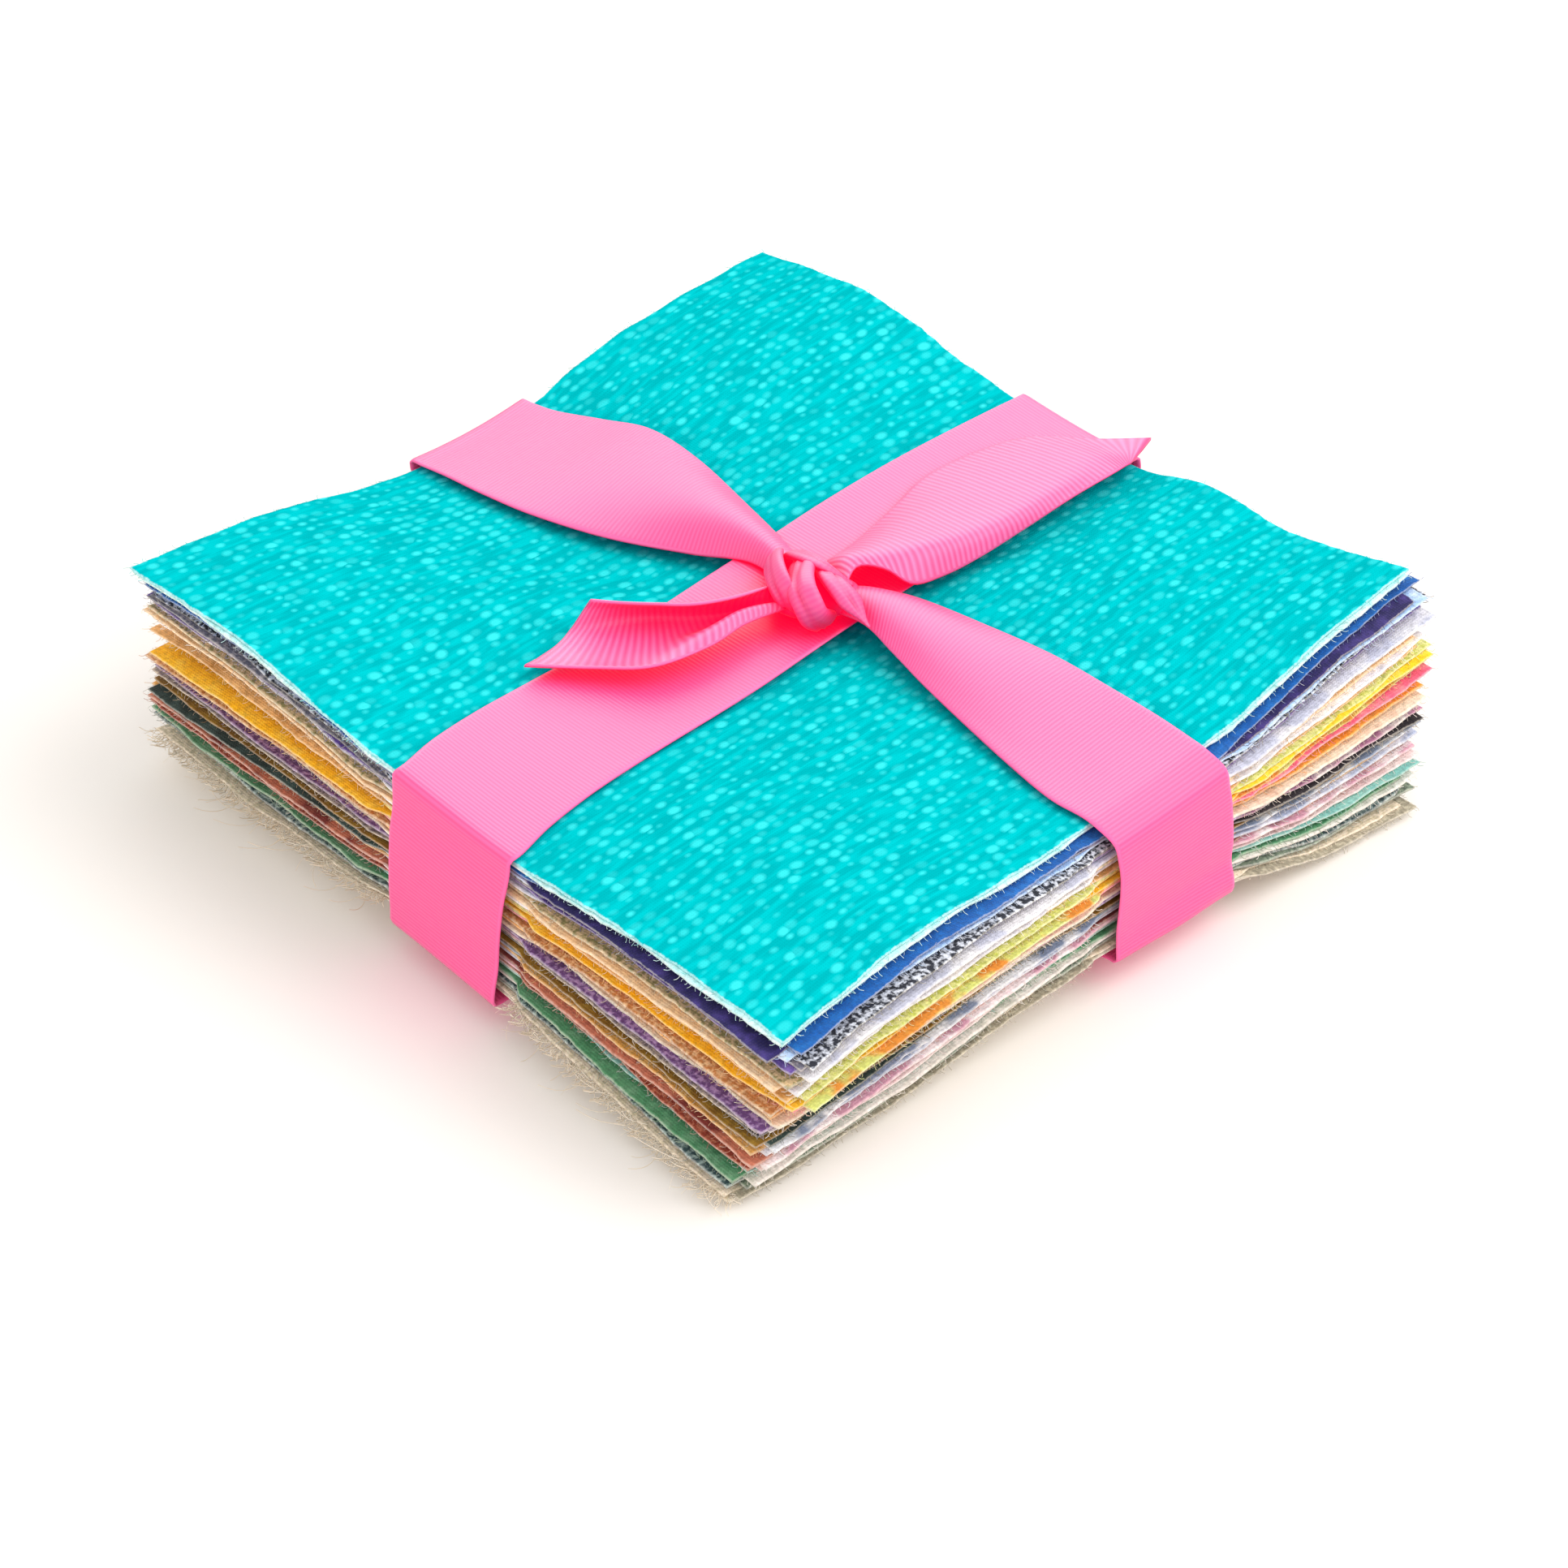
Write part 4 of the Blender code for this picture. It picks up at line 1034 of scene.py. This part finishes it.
# %% Make the knot
KNOT_MIDDLE = np.array((5.4, 3.0, 33.6))
BARREL_MIDDLE = np.array((5.0, 3.2, 33.4))
BARREL_TURN = math.radians(44.0)
BARREL_HALF_LENGTH = 7.0
BARREL_DEPTH = 4.6
BARREL_HEIGHT = 2.9
BARREL_CLOTH = 14.8  # length of cloth along the barrel, for its flat map
STRANDS = (
    # name, width, thickness, how far it thins at its end, and the path as x, y, z
    ("left", 4.2, 2.0, 0.0, ((-4.6, 5.4, 33.4), (-3.4, 4.2, 35.2), (-1.2, 1.6, 36.4),
                             (1.8, -0.8, 36.9), (4.2, -2.0, 36.4), (5.6, -1.8, 34.8),
                             (5.6, 0.2, 32.8))),
    ("middle", 4.4, 2.2, 0.0, ((0.2, 8.0, 34.0), (2.0, 4.6, 36.6), (4.4, 1.2, 37.5),
                               (7.0, -1.2, 37.7), (9.0, -2.1, 36.8), (10.0, -1.8, 34.9),
                               (9.8, 0.4, 32.8))),
    ("right", 4.0, 2.0, 0.9, ((5.2, 4.8, 34.8), (6.6, 4.4, 36.6), (8.7, 3.6, 37.2),
                              (11.2, 3.1, 36.7), (13.8, 2.8, 35.6), (16.6, 2.6, 34.0))),
    ("loop", 3.6, 1.7, 0.6, ((-3.0, 5.4, 34.0), (-0.8, 5.4, 36.2), (2.2, 5.0, 37.4),
                             (4.8, 5.0, 37.5), (6.8, 5.8, 36.6), (8.8, 7.2, 35.0))),
)
CREASES = (
    # depth, angle round the strand where it starts, how far it wanders by the end, and width
    (0.3, 2.0, -0.9, 0.16), (0.2, 0.9, 0.7, 0.13),
)


def strand_points(width, thick, thinning, path, columns=32, step=0.35):
    """Rows round a bunched ribbon on a path, with two creases along it and a thinner end."""
    path = np.array(path)
    along = np.concatenate(([0.0], np.cumsum(np.linalg.norm(np.diff(path, axis=0), axis=1))))
    at = np.linspace(0.0, along[-1], int(along[-1] / step) + 2)
    line = curve_through(along, path, at)
    tangent = np.gradient(line, axis=0)
    tangent /= np.linalg.norm(tangent, axis=1, keepdims=True)
    away = line - KNOT_MIDDLE
    away -= (away * tangent).sum(1, keepdims=True) * tangent
    away /= np.linalg.norm(away, axis=1, keepdims=True)
    beside = np.cross(tangent, away)
    angle = np.linspace(0.0, 2.0 * math.pi, columns, endpoint=False)
    share = (at / at[-1])[:, None]
    taper = ((0.6 + 0.4 * smooth_step(0.0, 0.3, share))
             * (1.0 - thinning * smooth_step(0.6, 1.0, share)))
    sideways = np.cos(angle)[None, :] * width / 2 * taper
    crease = 1.0
    for deep, start, wander, wide in CREASES:
        away_from = angle[None, :] - start - wander * share
        crease = crease - deep * np.exp(-(away_from / wide) ** 2)
    upward = np.sin(angle)[None, :] * thick / 2 * taper * crease
    points = line[:, None] + beside[:, None] * sideways[..., None] + away[:, None] * upward[..., None]
    flat = np.stack(np.broadcast_arrays(2.0 * sideways, at[:, None]), -1)
    return points, flat


def barrel_points():
    """Rows round the barrel that fills the middle of the knot."""
    axis = np.array((math.cos(BARREL_TURN), math.sin(BARREL_TURN), 0.0))
    depth = np.array((math.sin(BARREL_TURN), -math.cos(BARREL_TURN), 0.0))
    share = np.linspace(0.03, 0.97, 24)[:, None]
    angle = np.linspace(0.0, 2.0 * math.pi, 32, endpoint=False)[None, :]
    girth = np.sin(math.pi * share) ** 0.5
    points = (BARREL_MIDDLE + axis * (BARREL_HALF_LENGTH * (2.0 * share - 1.0))[..., None]
              + depth * (BARREL_DEPTH * girth * np.cos(angle))[..., None]
              + np.array((0.0, 0.0, 1.0)) * (BARREL_HEIGHT * girth * np.sin(angle))[..., None])
    flat = np.stack(np.broadcast_arrays(BARREL_DEPTH * np.cos(angle), BARREL_CLOTH * share), -1)
    return points, flat


for name, width, thick, thinning, path in STRANDS:
    dress(skin(f"ribbon_knot_{name}", *strand_points(width, thick, thinning, path), pink_bunched))
dress(skin("ribbon_knot_core", *barrel_points(), pink_bunched))
print("strands in the knot:", len(STRANDS))

# %% [markdown]
# ## Loose threads
#
# A raw cut edge sheds: short yarn ends stand out of it all the way round. The lowest cotton is
# frayed on its front left side as well, with a thick fringe and a few long wisps that lie on the
# table. There are thousands of threads, too many to place by hand, and hair curves don't go into
# the export. So Geometry Nodes plant them: the tree walks along each cut edge, keeps the places
# that the ribbon leaves free, and plants a small bent thread there, turned by chance about the
# way out of the cloth. One tree serves every square and every kind of thread, with a seed for
# each square.

# %% Tree that plants threads along cut edges
THREAD_GAP = 0.05 * MM  # no thread lies nearer to the table than this


def thread_tree():
    """Geometry Nodes that plant bent threads along the edges of a wire mesh."""
    tree = bpy.data.node_groups.new("loose_threads", "GeometryNodeTree")
    for name, kind in (("Geometry", "Geometry"), ("Spacing", "Float"), ("Length", "Float"),
                       ("Thickness", "Float"), ("Droop", "Float"), ("Lift", "Float"),
                       ("Segments", "Int"), ("Seed", "Int"), ("Material", "Material")):
        tree.interface.new_socket(name, in_out="INPUT", socket_type="NodeSocket" + kind)
    tree.interface.new_socket("Geometry", in_out="OUTPUT", socket_type="NodeSocketGeometry")
    given = add(tree, "NodeGroupInput").outputs
    edge = add(tree, "GeometryNodeMeshToCurve", {"Mesh": given["Geometry"]})
    places = add(tree, "GeometryNodeCurveToPoints", {"Curve": edge.outputs["Curve"],
                                                     "Length": given["Spacing"]}, mode="LENGTH")
    outward = add(tree, "GeometryNodeInputNamedAttribute", {"Name": "outward"},
                  data_type="FLOAT_VECTOR")
    free = add(tree, "GeometryNodeInputNamedAttribute", {"Name": "free"}, data_type="FLOAT")
    down = add(tree, "ShaderNodeMath", {0: 0.0, 1: given["Droop"]}, operation="SUBTRACT")
    least = add(tree, "ShaderNodeCombineXYZ", {"X": -0.9, "Y": -0.9, "Z": down.outputs[0]})
    most = add(tree, "ShaderNodeCombineXYZ", {"X": 0.9, "Y": 0.9, "Z": given["Lift"]})
    chance = add(tree, "FunctionNodeRandomValue", {"Min": least.outputs["Vector"],
                                                   "Max": most.outputs["Vector"],
                                                   "Seed": given["Seed"]}, data_type="FLOAT_VECTOR")
    lean = add(tree, "ShaderNodeVectorMath", {0: outward.outputs["Attribute"],
                                              1: chance.outputs["Value"]}, operation="ADD")
    aim = add(tree, "FunctionNodeAlignRotationToVector", {"Vector": lean.outputs["Vector"]}, axis="Z")
    spin = add(tree, "FunctionNodeRandomValue", {2: 0.0, 3: 6.28, "Seed": given["Seed"]},
               data_type="FLOAT")
    about = add(tree, "ShaderNodeCombineXYZ", {"Z": spin.outputs[1]})
    turn = add(tree, "FunctionNodeRotateRotation", {"Rotation": aim.outputs["Rotation"],
                                                    "Rotate By": about.outputs["Vector"]},
               rotation_space="LOCAL")
    size = add(tree, "FunctionNodeRandomValue", {2: 0.25, 3: 1.0, "Seed": given["Seed"]},
               data_type="FLOAT")
    bend = add(tree, "GeometryNodeCurveQuadraticBezier", {"Resolution": given["Segments"],
                                                          "Start": (0.0, 0.0, -0.1),
                                                          "Middle": (0.35, 0.0, 0.45),
                                                          "End": (-0.15, 0.1, 1.0)})
    long = add(tree, "ShaderNodeCombineXYZ", {"X": given["Length"], "Y": given["Length"],
                                              "Z": given["Length"]})
    line = add(tree, "GeometryNodeTransform", {"Geometry": bend.outputs["Curve"],
                                               "Scale": long.outputs["Vector"]})
    section = add(tree, "GeometryNodeCurvePrimitiveCircle", {"Resolution": 3,
                                                             "Radius": given["Thickness"]},
                  mode="RADIUS")
    thread = add(tree, "GeometryNodeCurveToMesh", {"Curve": line.outputs["Geometry"],
                                                   "Profile Curve": section.outputs["Curve"]})
    planted = add(tree, "GeometryNodeInstanceOnPoints", {"Points": places.outputs["Points"],
                                                         "Selection": free.outputs["Attribute"],
                                                         "Instance": thread.outputs["Mesh"],
                                                         "Rotation": turn.outputs["Rotation"],
                                                         "Scale": size.outputs[1]})
    real = add(tree, "GeometryNodeRealizeInstances", {"Geometry": planted.outputs["Instances"]})
    position = add(tree, "GeometryNodeInputPosition").outputs["Position"]
    place = add(tree, "ShaderNodeSeparateXYZ", {"Vector": position})
    above = add(tree, "ShaderNodeMath", {0: place.outputs["Z"], 1: THREAD_GAP}, operation="MAXIMUM")
    laid = add(tree, "ShaderNodeCombineXYZ", {"X": place.outputs["X"], "Y": place.outputs["Y"],
                                              "Z": above.outputs[0]})
    on_table = add(tree, "GeometryNodeSetPosition", {"Geometry": real.outputs["Geometry"],
                                                     "Position": laid.outputs["Vector"]})
    dyed = add(tree, "GeometryNodeSetMaterial", {"Geometry": on_table.outputs["Geometry"],
                                                 "Material": given["Material"]})
    add(tree, "NodeGroupOutput", {"Geometry": dyed.outputs["Geometry"]})
    return tree


# %% Material of the threads
def thread_material():
    """Cotton yarn ends: matt, and paler than their own cloth, whose dye lies on its surface."""
    material, tree, shader = new_material("cotton_yarn_ends")
    own = add(tree, "ShaderNodeAttribute", attribute_name="yarn")
    where = add(tree, "ShaderNodeTexCoord")
    noise = add(tree, "ShaderNodeTexNoise", {"Vector": where.outputs["Object"], "Scale": 700.0})
    pale = add(tree, "ShaderNodeMapRange", {"Value": noise.outputs["Fac"], "From Min": 0.35,
                                            "From Max": 0.65, "To Min": 0.15, "To Max": 0.65})
    colour = add(tree, "ShaderNodeMix", {"Factor": pale.outputs["Result"], "A": own.outputs["Color"],
                                         "B": linear("F3EADB")}, data_type="RGBA")
    tree.links.new(colour.outputs["Result"], shader.inputs["Base Color"])
    shader.inputs["Roughness"].default_value = 0.9
    shader.inputs["Specular IOR Level"].default_value = 0.2
    return material


# %% Plant the threads
def wire(name, lines):
    """Wire mesh of closed lines, each with its points, ways out, freedom from the ribbon, colour."""
    points, edges, outward, free, yarn = [], [], [], [], []
    for line, out, loose, colour in lines:
        start, count = len(points), len(line)
        points.extend((line * MM).tolist())
        edges.extend((start + n, start + (n + 1) % count) for n in range(count))
        outward.extend(out.tolist())
        free.extend(loose.tolist())
        yarn.extend([linear(colour)] * count)
    mesh = bpy.data.meshes.new(name)
    mesh.from_pydata(points, edges, [])
    for title, kind, values, key in (("outward", "FLOAT_VECTOR", outward, "vector"),
                                     ("free", "FLOAT", free, "value"),
                                     ("yarn", "FLOAT_COLOR", yarn, "color")):
        attribute = mesh.attributes.new(title, kind, "POINT")
        attribute.data.foreach_set(key, np.array(values, np.float32).ravel())
    obj = bpy.data.objects.new(name, mesh)
    bpy.context.scene.collection.objects.link(obj)
    return obj


def grown(obj, tree, values):
    """Runs a Geometry Nodes tree on an object and keeps the result as its plain mesh."""
    modifier = obj.modifiers.new(tree.name, "NODES")
    modifier.node_group = tree
    for item in tree.interface.items_tree:
        if item.in_out == "INPUT" and item.name in values:
            modifier[item.identifier] = values[item.name]
    bpy.context.view_layer.update()
    mesh = bpy.data.meshes.new_from_object(obj.evaluated_get(bpy.context.evaluated_depsgraph_get()))
    obj.modifiers.clear()
    obj.data = mesh
    return obj


UNDYED = "FFEED6"
PLANTED_WHERE_FREE = 0.6
THREAD_KINDS = (
    # name, squares, sides, spacing, length, thickness, droop, lift, segments
    ("short", range(1, SQUARES + 1), "all", 0.8, 1.1, 0.05, 0.9, 0.35, 2),
    ("fringe", (1,), "-y", 0.26, 3.2, 0.09, 0.08, 0.05, 3),
    ("wisps", (1,), "-y", 5.0, 8.5, 0.06, 0.05, 0.1, 8),
)
threads, yarn_ends, planted = thread_tree(), thread_material(), 0
on_side = side_of(outline())
for kind, squares, sides, spacing, length, thickness, droop, lift, segments in THREAD_KINDS:
    for number in squares:
        lines = []
        for edge, outward, free, ground in cut_edges[number]:
            kept = (free > PLANTED_WHERE_FREE) & ((on_side == sides) | (sides == "all"))
            lines.append((edge, outward, kept.astype(float), ground if kind == "short" else UNDYED))
        piece = grown(wire(f"cotton_{number:02d}_threads_{kind}", lines), threads,
                      {"Spacing": spacing * MM, "Length": length * MM, "Thickness": thickness * MM,
                       "Droop": droop, "Lift": lift, "Segments": segments, "Seed": number,
                       "Material": yarn_ends})
        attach(piece, "root")
        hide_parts(f"square_{number:02d}")
        planted += len(piece.data.polygons)
print("faces in the threads:", planted)

# %% [markdown]
# ## Floor and light
#
# The object is shown on plain white in a bright, soft studio. A photographer would hang one large
# soft light on the right and a little behind, which gives the shadow on the left, and let white
# walls fill it. Here a white surrounding does that. A faint light from the front keeps the near
# sides clear, and a third, behind on the left, is only seen as a sheen on the silky ribbon and
# lights nothing else. The view is set to Standard, because the default one greys such clear
# colours.

# %% Floor, lights and surroundings
LIGHTS = (
    # name, turn, rise, distance, side, watts
    ("key", 130.0, 46.0, 1.2, 1.0, 8.5),
    ("fill", -10.0, 18.0, 1.4, 1.2, 3.0),
    ("gloss", 222.0, 40.0, 1.3, 1.3, 18.0),
)


def studio():
    """Soft lights, white surroundings, and a matt floor so even that only the shadow shows."""
    material, tree, shader = new_material("studio_floor_white")
    grain = add(tree, "ShaderNodeTexNoise", {"Scale": 40.0})
    shade = add(tree, "ShaderNodeMix", {"Factor": grain.outputs["Fac"], "A": linear("F7F2EC"),
                                        "B": linear("F9F5F0")}, data_type="RGBA")
    tree.links.new(shade.outputs["Result"], shader.inputs["Base Color"])
    shader.inputs["Roughness"].default_value = 0.9
    shader.inputs["Specular IOR Level"].default_value = 0.1
    mesh = bpy.data.meshes.new("studio_floor")
    mesh.from_pydata([(-4, -4, 0), (4, -4, 0), (4, 4, 0), (-4, 4, 0)], [], [(0, 1, 2, 3)])
    mesh.materials.append(material)
    floor = bpy.data.objects.new("studio_floor", mesh)
    bpy.context.scene.collection.objects.link(floor)
    for name, turn, rise, distance, size, watts in LIGHTS:
        way = direction(math.radians(turn), math.radians(rise))
        data = bpy.data.lights.new(name, "AREA")
        data.size = size
        data.energy = watts
        lamp = bpy.data.objects.new(name, data)
        lamp.visible_diffuse = name != "gloss"  # which is only seen as a reflection
        lamp.location = way * distance
        lamp.rotation_euler = (-way).to_track_quat("-Z", "Y").to_euler()
        bpy.context.scene.collection.objects.link(lamp)
    world = bpy.data.worlds.new("studio")
    world.use_nodes = True
    sky = world.node_tree.nodes["Background"]
    sky.inputs["Color"].default_value = linear("FFFFFF")
    sky.inputs["Strength"].default_value = 1.0
    bpy.context.scene.world = world
    bpy.context.scene.view_settings.view_transform = "Standard"


studio()
print("lights:", [light.name for light in bpy.data.lights])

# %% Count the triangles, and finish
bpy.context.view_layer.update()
triangles = 0
for mesh in bpy.data.meshes:
    mesh.calc_loop_triangles()
    triangles += len(mesh.loop_triangles)
print("triangles in all:", triangles)
